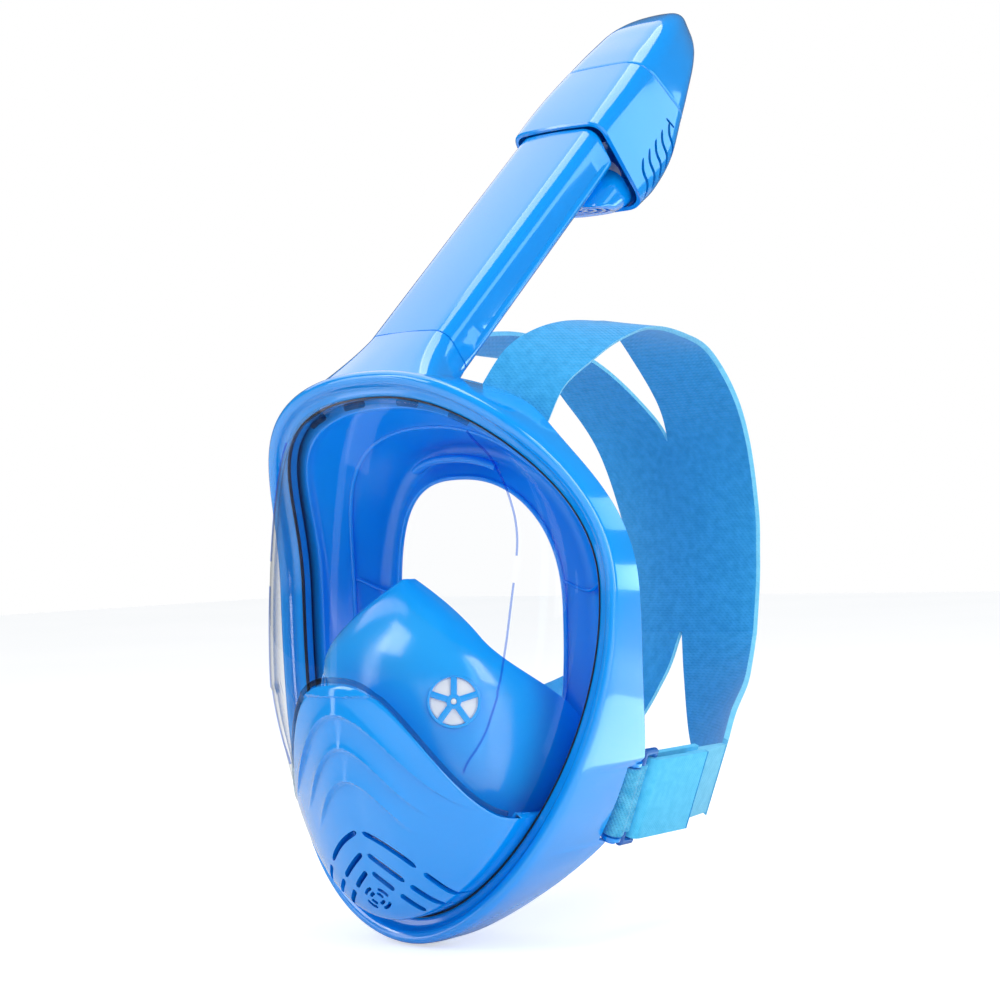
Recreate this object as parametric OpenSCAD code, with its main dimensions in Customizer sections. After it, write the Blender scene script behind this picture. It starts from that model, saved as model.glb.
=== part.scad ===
// Full-face snorkel mask: lens, two-part frame, face skirt, oral-nasal mask,
// one-piece leaning dry snorkel with a float valve, and a four-arm head strap.
// The front of the mask faces -Y, +X is the wearer's left, +Z is up.
// The origin is the middle of the face opening.

/* [Lens and frame] */
// half width of the lens edge
lens_half_w = 85; // [78:0.5:92]
// height of the lens edge above its widest line
lens_top_h = 86; // [78:0.5:94]
// depth of the lens edge below its widest line
lens_low_h = 139; // [128:0.5:150]
// wall of the moulded lens
lens_wall = 2.2; // [1.8:0.1:3]
// how far the lens bulges forward of the face opening
lens_front_y = 103; // [96:0.5:110]
// width of the round bead of the front frame
bead_w = 11.8; // [10:0.1:13]

/* [Snorkel] */
// lean of the snorkel back from upright
tube_lean = 48.8; // [44:0.1:53]
// length of the tube between the neck and the head
tube_len = 155; // [140:1:165]
// width of the tube
tube_w = 46; // [42:0.5:50]
// depth of the tube
tube_d = 25; // [22:0.5:28]
// wall of the tube
tube_wall = 2; // [1.6:0.1:3]
// width of the dry head
head_w = 54; // [50:0.5:58]

/* [Strap and fittings] */
// width of the lower strap arms
strap_w = 38; // [32:1:42]
// thickness of the elastic
strap_t = 2.6; // [2:0.1:3.5]
// radius of the bar that the webbing loop turns on
bar_r = 2.6; // [2.2:0.1:3]
// radius of the wire of the rectangular strap ring
ring_wire_r = 1.8; // [1.5:0.1:2.2]

/* [Breathing valves] */
// radius of the inhale valve seats
inhale_r = 12.5; // [11:0.5:13.5]
// radius of the purge valve seat
purge_r = 13; // [12:0.5:14]
// lift of the float to its seat
float_lift = 8; // [6:0.5:9]

/* [Hidden] */

blue = [0, 0.5, 0.95];
soft_blue = [0.1, 0.42, 0.85];
elastic = [0.3, 0.65, 0.9];
webbing = [0.4, 0.78, 0.93];
clear = [0.85, 0.93, 1, 0.35];
white = [0.95, 0.95, 0.95];

// widest level of the lens edge, depth of its top, and how far its sides and foot lie back
ring_z = 30;
top_y = -75;
side_back = 45.5;
low_back = 18;
n_top = 2.24;
n_low = 1.91;
// level where the dome starts to fall back, and peak of the chin cover
brow_z = -10;
bell_z = -5;
gap = 0.6;

// ---------- curves ----------
function spw(v, e) = sign(v) * pow(abs(v), e);
function ring_n(a) = sin(a) >= 0 ? n_top : n_low;
function ring_h(a) = sin(a) >= 0 ? lens_top_h : lens_low_h;
// how far behind the top of the lens edge the edge lies at angle a
function setback(a) = let (c = abs(cos(a)))
  sin(a) >= 0 ? side_back * pow(c, 3.26)
              : low_back + (side_back - low_back) * pow(c, 2.8);
// point on the lens edge, moved out by u in the XZ plane and back by v
function ring_pt(a, u, v) = let (n = ring_n(a), h = ring_h(a),
    x = lens_half_w * spw(cos(a), 2 / n), z = h * spw(sin(a), 2 / n),
    gx = spw(x / lens_half_w, n - 1) / lens_half_w, gz = spw(z / h, n - 1) / h,
    g = norm([gx, gz]))
  [x + u * gx / g, top_y + setback(a) + v, ring_z + z + u * gz / g];

// height angle of station a, mirrored so that both sides give -90..90
function height_angle(a) = 90 - abs(((a + 90) % 360 + 360) % 360 - 180);
// depth of the outer flank of the frame: jaw wing with a notch for the webbing
// loop, and a small lug near the top for the upper strap bar
// angles and depth of the notch in the flank for the webbing loop
notch_hi = -31.6;
notch_lo = -48.5;
notch_y = -7;
function flank(a) = let (f = height_angle(a))
  f < notch_hi && f > notch_lo ? notch_y - top_y - setback(a)
  : 14 + 38 * exp(-pow((f + 42) / 22, 2)) + 16 * exp(-pow((f - 58) / 15, 2));

// ---------- dome shared by the lens and the chin cover ----------
function dome_front(x, z) = -lens_front_y + x * x / 144
  + (z > brow_z ? 0.00094 * pow(z - brow_z, 2) : 1 + 0.08 * pow(brow_z - z, 1.25));
function dome_y(x, z, inset, proud) = let (w = lens_half_w - inset,
    h = (z > ring_z ? lens_top_h : lens_low_h) - inset,
    n = z > ring_z ? n_top : n_low,
    px = pow(abs(x) / w, n), pz = pow(abs(z - ring_z) / h, n),
    r = min(1, pow(px + pz, 1 / n)), s = px + pz > 0 ? px / (px + pz) : 0,
    c = sqrt(pow(s, 2 / n) / (pow(s, 2 / n) + pow(1 - s, 2 / n))),
    back = z > ring_z ? side_back * pow(c, 3.26)
                      : low_back + (side_back - low_back) * pow(c, 2.8),
    yr = top_y + back, f = dome_front(x, z) + inset - proud)
  yr + (f - yr) * pow(max(0, 1 - pow(r, 8)), 1 / 8);

// bell-shaped top edge of the chin cover
bell_half = 62;
function bell(x) = bell_z - 29 + 29 * cos(180 * pow(min(1, abs(x) / bell_half), 1.4));

// ---------- skins ----------
function quad(a, b, c, d) = [[a, b, c], [a, c, d]];
// closed in both directions: a bent tube of any section
module closed_skin(rings) {
  n = len(rings);
  m = len(rings[0]);
  polyhedron([for (r = rings) each r], [for (i = [0:n - 1], j = [0:m - 1])
    let (k = (i + 1) % n, l = (j + 1) % m)
    each quad(i * m + j, i * m + l, k * m + l, k * m + j)]);
}
// rings skinned in order with a cap at each end
module capped_skin(rings) {
  n = len(rings);
  m = len(rings[0]);
  mid = [for (r = [rings[0], rings[n - 1]]) [for (k = [0:2]) sum_of(r, k) / m]];
  polyhedron([for (r = rings) each r, mid[0], mid[1]], concat(
    [for (i = [0:n - 2], j = [0:m - 1]) let (l = (j + 1) % m)
      each quad(i * m + j, i * m + l, (i + 1) * m + l, (i + 1) * m + j)],
    [for (j = [0:m - 1]) [n * m, (j + 1) % m, j]],
    [for (j = [0:m - 1]) [n * m + 1, (n - 1) * m + j, (n - 1) * m + (j + 1) % m]]));
}
function sum_of(r, k) = let (v = [for (p = r) p[k]]) v * [for (p = r) 1];
// a sheet with a front grid and a back grid; open(i, j) cells are left out
module sheet(front, back, gone = []) {
  n = len(front);
  m = len(front[0]);
  o = n * m;
  function out(i, j) = i < 0 || j < 0 || i > n - 2 || j > m - 2
    || len([for (g = gone) if (g[0] == i && g[1] == j) 1]) > 0;
  polyhedron([for (r = front) each r, for (r = back) each r],
    [for (i = [0:n - 2], j = [0:m - 2]) if (!out(i, j))
      let (a = i * m + j, b = a + 1, c = a + m + 1, d = a + m)
      each concat(quad(a, b, c, d), quad(o + a, o + d, o + c, o + b),
        out(i, j - 1) ? quad(a, d, o + d, o + a) : [],
        out(i, j + 1) ? quad(c, b, o + b, o + c) : [],
        out(i - 1, j) ? quad(b, a, o + a, o + b) : [],
        out(i + 1, j) ? quad(d, c, o + c, o + d) : [])]);
}
// rounded section of half size hx, hy about point c on axes ux, uy
function sect(c, ux, uy, hx, hy, n, m) = [for (i = [0:m - 1])
  let (a = 360 * i / m)
  c + ux * hx * spw(cos(a), 2 / n) + uy * hy * spw(sin(a), 2 / n)];
function mix(a, b, t) = a + (b - a) * t;
function reversed(v) = [for (i = [len(v) - 1:-1:0]) v[i]];
module mirrored() {
  mirror([1, 0, 0]) children();
}

// ---------- lens and chin cover ----------
// the lens ends on the frame at this angle, the chin cover a little below it
lens_from = -31;
// grid rows run from the frame flange to the bell edge
row_t = [0.004, 0.012, 0.025, 0.045, 0.075, 0.12, 0.2, 0.32, 0.48, 0.66, 0.84, 1];
function lens_row(t, inset) = let (n = 52)
  [for (i = [0:n]) let (s = sin(90 * (2 * i / n - 1)) , a = 90 - s * (90 - lens_from),
      p = ring_pt(a, 0, 0), w = (lens_half_w - inset) / lens_half_w,
      rp = [p[0] * w, 0, ring_z + (p[2] - ring_z) * w],
      bx = s * (bell_half - 1) * w, b = [bx, 0, bell(bx) + gap],
      q = mix(rp, b, t))
    [q[0], dome_y(q[0], q[2], inset, 0), q[2]]];
function lens_flange(u, v) = let (n = 52)
  [for (i = [0:n]) let (s = sin(90 * (2 * i / n - 1)), a = 90 - s * (90 - lens_from))
    ring_pt(a, u, v)];
module visor_lens() {
  color(clear)
    sheet(concat([lens_flange(8.4, 9.2), lens_flange(8.4, 7.3), lens_flange(0, 7.3),
        lens_flange(0, 1)], [for (t = row_t) lens_row(t, 0)]),
      concat([lens_flange(7.8, 9.4), lens_flange(-lens_wall, 9.4),
        lens_flange(-lens_wall, 8), lens_flange(-lens_wall, 1)],
        [for (t = row_t) lens_row(t, lens_wall)]));
}

chin_to = -35.5;
chin_half = [0.03, 0.15, 0.27, 0.37, 0.42, 0.5, 0.58, 0.7, 0.8, 0.89, 0.95, 0.985, 1];
chin_cols = concat([for (i = [len(chin_half) - 1:-1:0]) -chin_half[i]], chin_half);
chin_rows = [0.006, 0.02, 0.05, 0.1, 0.15, 0.2, 0.24, 0.29, 0.33, 0.38, 0.42, 0.5,
  0.58, 0.6, 0.69, 0.71, 0.81, 0.83, 0.94, 1];
// three raised steps that follow the bell edge and fade out to the sides
function chin_step(s, t) = let (f = max(0, 1 - pow(abs(s) / 0.8, 2)))
  1.1 + f * 1.2 * ((t > 0.59 && t < 0.7 ? 1 : 0) + (t > 0.705 && t < 0.82 ? 1 : 0)
  + (t > 0.825 && t < 0.95 ? 1 : 0));
function chin_row(t, inset, back) = [for (s = chin_cols)
  let (a = -90 + s * (90 + chin_to), p = ring_pt(a, 0, 0),
    w = (lens_half_w - inset) / lens_half_w,
    rp = [p[0] * w, 0, ring_z + (p[2] - ring_z) * w],
    bx = s * (bell_half + 1.6) * w, b = [bx, 0, bell(bx) - gap], q = mix(rp, b, t))
  [q[0], dome_y(q[0], q[2], inset, back ? 0.3 : chin_step(s, t)), q[2]]];
function chin_edge(u, v) = [for (s = chin_cols) ring_pt(-90 + s * (90 + chin_to), u, v)];
// vent slots: grid cells left open, in three rows of four
slot_rows = [5, 7, 9];
slot_cols = [6, 7, 9, 10, 11, 13, 14, 15, 17, 18];
module chin_cover() {
  last_row = len(chin_rows) + 2;
  cells = [for (r = slot_rows, c = slot_cols) [last_row - r - 4, c]];
  color(blue)
    sheet(reversed(concat([chin_edge(8.4, 9.2), chin_edge(8.4, 7.3), chin_edge(0, 7.3),
        chin_edge(0, 1)], [for (t = chin_rows) chin_row(t, 0, false)])),
      reversed(concat([chin_edge(7.8, 9.4), chin_edge(-2.4, 9.4), chin_edge(-2.4, 8),
        chin_edge(-2.4, 1)], [for (t = chin_rows) chin_row(t, 2.4, true)])), cells);
}

// ---------- frame ----------
side_stations = [-90, -84, -78, -72, -66, -60, -56, -53, -49, -48.4, -44, -40, -36, -31.7,
  -31, -27, -22, -16, -10, -4, 2, 8, 14, 20, 26, 32, 38, 42, 46, 50, 54, 58, 62, 66, 70,
  75, 80, 85];
stations = concat(side_stations, [90], [for (i = [len(side_stations) - 1:-1:1])
  180 - side_stations[i]]);
module front_frame() {
  lip = [[0.5, 7], [0.5, 2], [2.5, 0.5], [5, -1], [6.5, -3], [8, -4], [9.8, -3.6],
    [11, -2], [bead_w - 0.2, 0.5]];
  color(blue)
    closed_skin([for (a = stations) concat([for (p = lip) ring_pt(a, p[0], p[1])],
      [ring_pt(a, bead_w, flank(a)), ring_pt(a, bead_w - 2.6, flank(a)),
        ring_pt(a, bead_w - 2.6, 7)])]);
}
module rear_frame() {
  color(blue)
    closed_skin([for (a = [-90:6:264]) [ring_pt(a, -0.9, 14), ring_pt(a, -0.9, 12),
      ring_pt(a, 8.8, 12), ring_pt(a, 8.8, 14)]]);
}

// ---------- face skirt and oral-nasal mask ----------
// rolled edge that rests on the face, and the free inner edge around the opening
function seal_pt(a, d) = [(68 - d) * spw(cos(a), 0.85),
  cos(a) * cos(a) * 16 - 8 + (sin(a) < 0 ? -10 * sin(a) * sin(a) : 0),
  6 + (sin(a) > 0 ? 93 - d : 98 - d) * spw(sin(a), 0.85)];
function lip_pt(a, back) = [48 * spw(cos(a), 0.83),
  back - 15 + 12.5 * cos(a) * cos(a) + (sin(a) < 0 ? 8 * sin(a) * sin(a) : 0),
  20 + (sin(a) > 0 ? 62 : 104) * spw(sin(a), 0.83)];
module face_skirt() {
  color(soft_blue)
    closed_skin([for (a = [-90:6:264]) let (o = ring_pt(a, -2, 16), s = seal_pt(a, 0),
        i = ring_pt(a, -4.2, 14), q = seal_pt(a, 2.4))
      [ring_pt(a, 8.6, 11.6), ring_pt(a, -2, 11.6), o, mix(o, s, 0.5), s,
        mix(s, lip_pt(a, 2), 0.35) + [0, 5, 0], lip_pt(a, 2), lip_pt(a, 0),
        mix(q, lip_pt(a, 0), 0.4) + [0, 2, 0], q + [0, -3, 0], mix(i, q, 0.5), i,
        ring_pt(a, -4.2, 9.9), ring_pt(a, 8.6, 9.9)]]);
}

// nose and mouth cup: half width, front and rear of each level
cup_low = -30;
function cup_half(z) = z > cup_low ? 56 * (1 - pow((z - cup_low) / 68, 2.2)) + 1.2
  : 56 * pow(max(0, 1 - pow((cup_low - z) / 70, 2.2)), 1 / 1.8) + 1.2;
function cup_front(z) = -80 + 24 * pow(max(0, z + 10) / 47, 2.6)
  + 26 * pow(max(0, -40 - z) / 60, 2);
function cup_rear(z) = let (t = min(1, max(0, (12 - z) / 42)))
  -50 + 45 * t * t * (3 - 2 * t) - 12 * pow(max(0, -60 - z) / 39, 1.5);
cup_zs = [-99, -90, -80, -70, -60, -50, -41, -32, -23.7, -14, -4.3, 5, 14, 22, 29, 34, 37.2];
cup_quarter = [0, 8, 16, 24, 32, 40, 51, 62, 69, 76, 83];
cup_as = concat(cup_quarter, [90], [for (i = [10:-1:0]) 180 - cup_quarter[i]]);
function cup_row(z, t) = let (w = cup_half(z) - t, f = cup_front(z) + t, r = cup_rear(z))
  [for (a = cup_as)
    [w * spw(cos(a), 0.85), r + (f - r) * spw(sin(a), 0.9), z - t * 0.4]];
module oral_nasal_mask() {
  inhale_cells = [for (r = [8, 9], c = [5, 6, 15, 16]) [r, c]];
  purge_cells = [for (r = [1, 2], c = [9:12]) [r, c]];
  color(soft_blue)
    sheet([for (z = cup_zs) cup_row(z, 0)], [for (z = cup_zs) cup_row(z, 2.2)],
      concat(inhale_cells, purge_cells));
}

// ---------- valves ----------
inhale_at = [36.2, -67.8, -14];
inhale_turn = -52;
module at_inhale() {
  translate(inhale_at) rotate([0, 90, inhale_turn]) children();
}
seat_t = 0.8;
seat_bore = inhale_r - 3.3;
module inhale_seat() {
  color(blue) {
    difference() {
      translate([0, 0, -1.8]) cylinder(r = inhale_r, h = 1.8 + seat_t, $fn = 64);
      translate([0, 0, -3]) cylinder(r = seat_bore, h = 6, $fn = 64);
    }
    for (i = [0:4]) rotate([0, 0, 72 * i])
      translate([2, -1.3, -0.2]) cube([seat_bore - 1.5, 2.6, seat_t + 0.2]);
    difference() {
      translate([0, 0, -0.2]) cylinder(r = 2.6, h = seat_t + 0.2, $fn = 48);
      translate([0, 0, -1]) cylinder(r = 0.9, h = seat_t + 2, $fn = 32);
    }
  }
}
flap_t = 0.8;
module inhale_flap() {
  color(white) translate([0, 0, -0.4 - flap_t]) {
    cylinder(r = seat_bore - 0.8, h = flap_t, $fn = 64);
    cylinder(r = 0.85, h = flap_t + 1.6, $fn = 32);
  }
}
module inhale_seat_left() {
  at_inhale() inhale_seat();
}
module inhale_seat_right() {
  mirrored() at_inhale() inhale_seat();
}
module inhale_flap_left() {
  at_inhale() inhale_flap();
}
module inhale_flap_right() {
  mirrored() at_inhale() inhale_flap();
}
purge_at = [0, -71, -80];
purge_tip = 120;
module at_purge() {
  translate(purge_at) rotate([purge_tip, 0, 0]) children();
}
module purge_seat() {
  color(blue) at_purge() {
    difference() {
      union() {
        cylinder(r = purge_r, h = 2.4, $fn = 72);
        translate([0, 0, -6]) cylinder(r = purge_r - 1.5, h = 7, $fn = 72);
      }
      translate([0, 0, -7]) cylinder(r = purge_r - 3, h = 10, $fn = 72);
    }
    for (i = [0:2]) rotate([0, 0, 120 * i + 30])
      translate([2, -1, 0]) cube([purge_r - 4.5, 2, 2]);
    difference() {
      cylinder(r = 2.8, h = 2, $fn = 48);
      translate([0, 0, -1]) cylinder(r = 1.2, h = 4, $fn = 32);
    }
  }
}
module purge_disc() {
  color(white) at_purge() translate([0, 0, 2.7]) {
    cylinder(r = purge_r - 1.8, h = 0.9, $fn = 72);
    translate([0, 0, -2.2]) cylinder(r = 1.15, h = 2.4, $fn = 32);
  }
}

// ---------- snorkel ----------
seam_y = -50;
seam_z = 146;
module on_tube() {
  translate([0, seam_y, seam_z]) rotate([-tube_lean, 0, 0]) children();
}
// section from a front point to a rear point, both given as [depth, run]
function across(f, b, hx, n, m) = let (c = (f + b) / 2, d = b - f, l = norm(d))
  sect([0, c[0], c[1]], [1, 0, 0], [0, d[0] / l, d[1] / l], hx, l / 2, n, m);
neck_ks = [0, 0.2, 0.4, 0.6, 0.8, 1];
neck_foot_half = 35;
neck_foot_y = -61.2;
neck_foot_d = 16.3;
// height of the top of the frame's bead at x
function crest(x) = ring_z + lens_top_h * pow(1 - pow(abs(x) / lens_half_w, n_top), 1 / n_top)
  + bead_w + abs(x) / 50;
// the foot follows the frame's crest and drops behind it
function neck_foot(cx, cy, t) = let (x = (neck_foot_half - t) * cx * (0.86 - 0.14 * cy),
    y = neck_foot_y + (neck_foot_d - t) * cy,
    d = min(1, max(0, (y + 61 - 7.5 * pow(x / 26, 4)) / 12)))
  [x, y, crest(x) + 0.5 - 11 * d * d * (3 - 2 * d)];
function neck_ring(k, t) = let (q = tube_d / 2, c = cos(tube_lean), s = sin(tube_lean))
  [for (i = [0:43]) let (a = 360 * i / 44, cx = spw(cos(a), 2 / 3.2), cy = spw(sin(a), 2 / 3.2),
      d = q + (q - t) * cy, top = [(tube_w / 2 - t) * cx, seam_y + c * d, seam_z - s * d],
      foot = neck_foot(cx, cy, t))
    [mix(top[0], foot[0], pow(k, 1.6)), mix(top[1], foot[1], k), mix(top[2], foot[2], k)]];
module snorkel_neck() {
  color(blue)
    closed_skin(concat([for (k = neck_ks) neck_ring(k, 0)],
      [for (k = reversed(neck_ks)) neck_ring(k, tube_wall + 0.4)]));
}
spigot = 9;
module snorkel_tube() {
  q = tube_d / 2;
  // [run, inset] round the outside, then back down the bore
  skin = [[-spigot, 3.6], [0.3, 3.6], [0.3, 0], [80, 0], [tube_len, 0],
    [tube_len, tube_wall], [8, tube_wall], [2, 5.2], [-spigot, 5.2]];
  color(blue) on_tube() closed_skin([for (r = skin)
    sect([0, q, r[0]], [1, 0, 0], [0, 1, 0], tube_w / 2 - r[1], q - r[1], 3.3, 44)]);
}
module tube_gasket() {
  hx = tube_w / 2 - 3;
  q = tube_d / 2;
  color(soft_blue) on_tube()
    closed_skin([for (p = [[0.4, -5.9], [0.4, -4.3], [-0.4, -4.3], [-0.4, -5.9]])
      sect([0, q, p[1]], [1, 0, 0], [0, 1, 0], hx + p[0], q - 3 + p[0], 3.2, 44)]);
}
module tube_latch() {
  color(blue) on_tube() translate([-8, tube_d + 1.6, -1]) {
    cube([16, 2.4, 9]);
    translate([2, 2.4, 1.5]) cube([12, 1, 6]);
  }
}

// ---------- dry head ----------
head_f = [[-2.5, tube_len + 0.6], [-3, 172], [-3, 190], [-2.6, 207.7]];
head_b = [[52, 159.5], [54.5, 178], [52.5, 200], [44.5, 222.2]];
head_x = [0.5, 0.5, 0.49, 0.47];
function head_ring(i, t) = across(head_f[i] + [t, 0], head_b[i] - [t, 0],
  head_w * head_x[i] - t, 3, 44);
module head_housing() {
  color(blue) on_tube()
    closed_skin(concat([for (i = [0:3]) head_ring(i, 0)],
      [for (i = [3:-1:0]) head_ring(i, 2)]));
}
cap_f = [[-2.6, 208.2], [-1.5, 235], [1.5, 257], [7, 271], [13.5, 280], [19, 284]];
cap_b = [[44.5, 222.7], [38.5, 242], [35, 258], [32.5, 269.5], [29, 278.5], [25.5, 283.5]];
cap_x = [25.3, 23, 19, 14.5, 9.5, 4];
function cap_ring(i, t) = across(cap_f[i] + [t, 0], cap_b[i] - [t, 0], cap_x[i] - t, 2.6, 44);
module head_cap() {
  color(blue) on_tube()
    capped_skin(concat([for (i = [4:-1:0]) cap_ring(i, 2.2)], [for (i = [0:5]) cap_ring(i, 0)]));
}
module chamber_grille() {
  color(blue) on_tube() rotate([0, 90, 0]) rotate([0, 0, 90]) difference() {
    translate([0, 0, -20])
      linear_extrude(40) polygon([[26, 155], [26, 129.5], [28.5, 129.5], [51.5, 156],
        [51.5, 159], [49.5, 159], [49.5, 157], [28, 132.4], [28, 155]]);
    for (i = [-3:3])
      translate([39, 144.5, i * 5]) rotate([0, 0, 48.8]) cube([20, 8, 2.2], center = true);
  }
  color(blue) on_tube() for (x = [-20, 18.2])
    translate([x, 0, 0]) rotate([0, 90, 0]) rotate([0, 0, 90])
      linear_extrude(1.8) polygon([[26.1, 155], [26.1, 129.7], [28.4, 129.7], [51.3, 156.1],
        [51.3, 158.6]]);
}
float_q = 39;
float_s = 163;
module float_block() {
  color(white) on_tube() translate([0, float_q, float_s]) {
    cylinder(r = 8, h = 14, $fn = 64);
    translate([0, 0, -2]) cylinder(r = 3, h = 2, $fn = 48);
  }
}
module float_seal() {
  color(soft_blue) on_tube() translate([0, float_q, float_s + 14.05])
    cylinder(r = 7.6, h = 1.6, $fn = 64);
}

module float_seat() {
  color(blue) on_tube() difference() {
    translate([0, 0, float_s + 15.75 + float_lift]) {
      translate([-20, 27.6, 0]) cube([40, 15, 2]);
      translate([-13, 27.6, 0]) cube([26, 22, 2]);
    }
    translate([0, float_q, float_s + 20]) cylinder(r = 6, h = 20, $fn = 64);
  }
}

// ---------- head strap ----------
// one side of the strap as [side edge, inner edge] rows from the upper bar round
// the head to the lower arm
strap_rows = [
  [[60.5, -38, 96], [38.4, -49.5, 114]], [[63.1, -32.4, 102], [39, -46.5, 119]],
  [[65.7, -21.9, 118.8], [41.3, -32, 135.5]], [[68.5, -3.7, 131], [42, -13, 145]],
  [[69, 17.5, 141.1], [41.3, 11, 150.6]], [[68.5, 43.9, 147.9], [36.6, 43, 153]],
  [[63, 78.6, 146.8], [26, 73, 153.5]], [[54, 114.8, 141.1], [12.7, 109.3, 141.7]],
  [[50.8, 141.2, 121.3], [5, 143.2, 118.7]], [[46.2, 160.5, 97], [0, 158.8, 98]],
  [[42.2, 173.1, 63.5], [0, 165, 66]], [[40.5, 175.6, 42.8], [0, 167, 43]],
  [[39.3, 176.2, 26], [0, 167, 26]], [[41, 169, 1], [0, 164, 2]]];
arm_rows = [
  [[48, 153, -11], [6.5, 156, -21]], [[58, 131.6, -21], [20, 139, -50]],
  [[72, 98, -31.5], [44, 112, -68]], [[77.7, 82, -43.1], [64, 82, -78.6]]];
loop_mid = [0, 55, 50];
function strap_in(p, t) = let (d = p - loop_mid, e = [d[0], d[1], d[2] * 0.5])
  p - e * (t / norm(e));
// the back panel is curved across its width, the arms are straight across
function strap_pt(r, k) = let (p = mix(r[0], r[1], k), f = min(1, max(0, 1 - r[1][0] / 10)))
  p + [0, f * (r[0][1] - r[1][1]) * (pow(1 - k, 2) - (1 - k)), 0];
function side_pts(r, t) = [for (k = [0:4]) strap_in(strap_pt(r, k / 4), t)];
function flip_x(v) = [for (p = v) [-p[0], p[1], p[2]]];
function full_row(r, t) = concat(flip_x(side_pts(r, t)), reversed(side_pts(r, t)));
module head_strap() {
  cells = [for (i = [0:8]) [i, 4]];
  color(elastic)
    sheet([for (r = strap_rows) full_row(r, 0)],
      [for (r = strap_rows) full_row(r, strap_t)], cells);
}
module lower_strap() {
  rows = concat([strap_rows[13] + [[0.2, -0.5, -0.6], [2, 0, -0.6]]], arm_rows);
  color(elastic)
    sheet([for (r = rows) side_pts(r, 0)], [for (r = rows) side_pts(r, strap_t)]);
}
module lower_strap_left() {
  lower_strap();
}
module lower_strap_right() {
  mirrored() lower_strap();
}

// ---------- strap fittings ----------
// bar across the strap slot, with a leg at each end that joins the frame's wall
upper_bar_at = [51.3, -43.3, 109.2];
upper_bar_l = 38;
upper_bar_dip = 120;
upper_bar_turn = 21.5;
upper_leg_l = 12;
module upper_bar() {
  bar = [sin(upper_bar_dip) * cos(upper_bar_turn), sin(upper_bar_dip) * sin(upper_bar_turn),
    cos(upper_bar_dip)];
  color(blue) translate(upper_bar_at) {
    rotate([0, upper_bar_dip, upper_bar_turn])
      cylinder(r = 1.8, h = upper_bar_l, center = true, $fn = 40);
    for (d = [-1, 1]) translate(d * upper_bar_l / 2 * bar + [0, 2.6, 0])
      rotate([90, 0, 0]) cylinder(r = 1.8, h = upper_leg_l, $fn = 40);
  }
}
module upper_bar_left() {
  upper_bar();
}
module upper_bar_right() {
  mirrored() upper_bar();
}
fit_at = [72.6, 1, -61.5];
fit_tip = 21;
leg_y = 8;
rear_leg_y = 15.5;
web_t = 0.9;
module at_fitting() {
  translate(fit_at) rotate([0, fit_tip, 0]) children();
}
module loop_bar() {
  color(blue) at_fitting() {
    cylinder(r = bar_r, h = 40, center = true, $fn = 48);
    for (z = [-18.6, 17]) translate([0, 0, z]) cylinder(r = 4.4, h = 1.6, $fn = 48);
  }
}
module webbing_loop() {
  loop_h = 32;
  color(webbing) at_fitting() translate([0, 0, -loop_h / 2]) difference() {
    union() {
      cylinder(r = 5, h = loop_h, $fn = 64);
      translate([-2.6, 0, 0]) cube([5.2, leg_y, loop_h]);
      translate([0, leg_y, 0]) cylinder(r = ring_wire_r + web_t, h = loop_h, $fn = 64);
    }
    translate([0, 0, -1]) cylinder(r = bar_r + 0.06, h = loop_h + 2, $fn = 64);
    translate([0, leg_y, -1]) cylinder(r = ring_wire_r + 0.06, h = loop_h + 2, $fn = 64);
  }
}
module strap_ring() {
  half = strap_w / 2 + 2.2;
  color(blue) at_fitting() {
    for (y = [leg_y, rear_leg_y])
      translate([0, y, 0]) cylinder(r = ring_wire_r, h = 2 * half, center = true, $fn = 48);
    for (z = [-half, half]) {
      translate([0, leg_y, z]) rotate([-90, 0, 0])
        cylinder(r = ring_wire_r, h = rear_leg_y - leg_y, $fn = 48);
      for (y = [leg_y, rear_leg_y])
        translate([0, y, z]) sphere(r = ring_wire_r, $fn = 48);
    }
  }
}
module strap_fold() {
  r_in = ring_wire_r + 0.06;
  r_out = r_in + strap_t;
  color(webbing) at_fitting() translate([0, rear_leg_y, -strap_w / 2]) {
    difference() {
      cylinder(r = r_out, h = strap_w, $fn = 64);
      translate([0, 0, -1]) cylinder(r = r_in, h = strap_w + 2, $fn = 64);
      translate([-10, 0, -1]) cube([20, 10, strap_w + 2]);
    }
    translate([r_in, 0, 0]) cube([strap_t, 38, strap_w]);
    translate([-r_out, 0, 0]) cube([strap_t, 64, strap_w]);
  }
}
module loop_bar_left() {
  loop_bar();
}
module loop_bar_right() {
  mirrored() loop_bar();
}
module webbing_loop_left() {
  webbing_loop();
}
module webbing_loop_right() {
  mirrored() webbing_loop();
}
module strap_ring_left() {
  strap_ring();
}
module strap_ring_right() {
  mirrored() strap_ring();
}
module strap_fold_left() {
  strap_fold();
}
module strap_fold_right() {
  mirrored() strap_fold();
}

visor_lens();
chin_cover();
front_frame();
rear_frame();
face_skirt();
oral_nasal_mask();
inhale_seat_left();
inhale_seat_right();
inhale_flap_left();
inhale_flap_right();
purge_seat();
purge_disc();
snorkel_neck();
tube_gasket();
tube_latch();
snorkel_tube();
head_housing();
head_cap();
chamber_grille();
float_block();
float_seal();
float_seat();
head_strap();
upper_bar_left();
upper_bar_right();
webbing_loop_left();
webbing_loop_right();
loop_bar_left();
loop_bar_right();
strap_ring_left();
strap_ring_right();
strap_fold_left();
strap_fold_right();
lower_strap_left();
lower_strap_right();
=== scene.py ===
import math
import bpy
import bmesh
import numpy as np
from mathutils import Matrix, Vector


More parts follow.
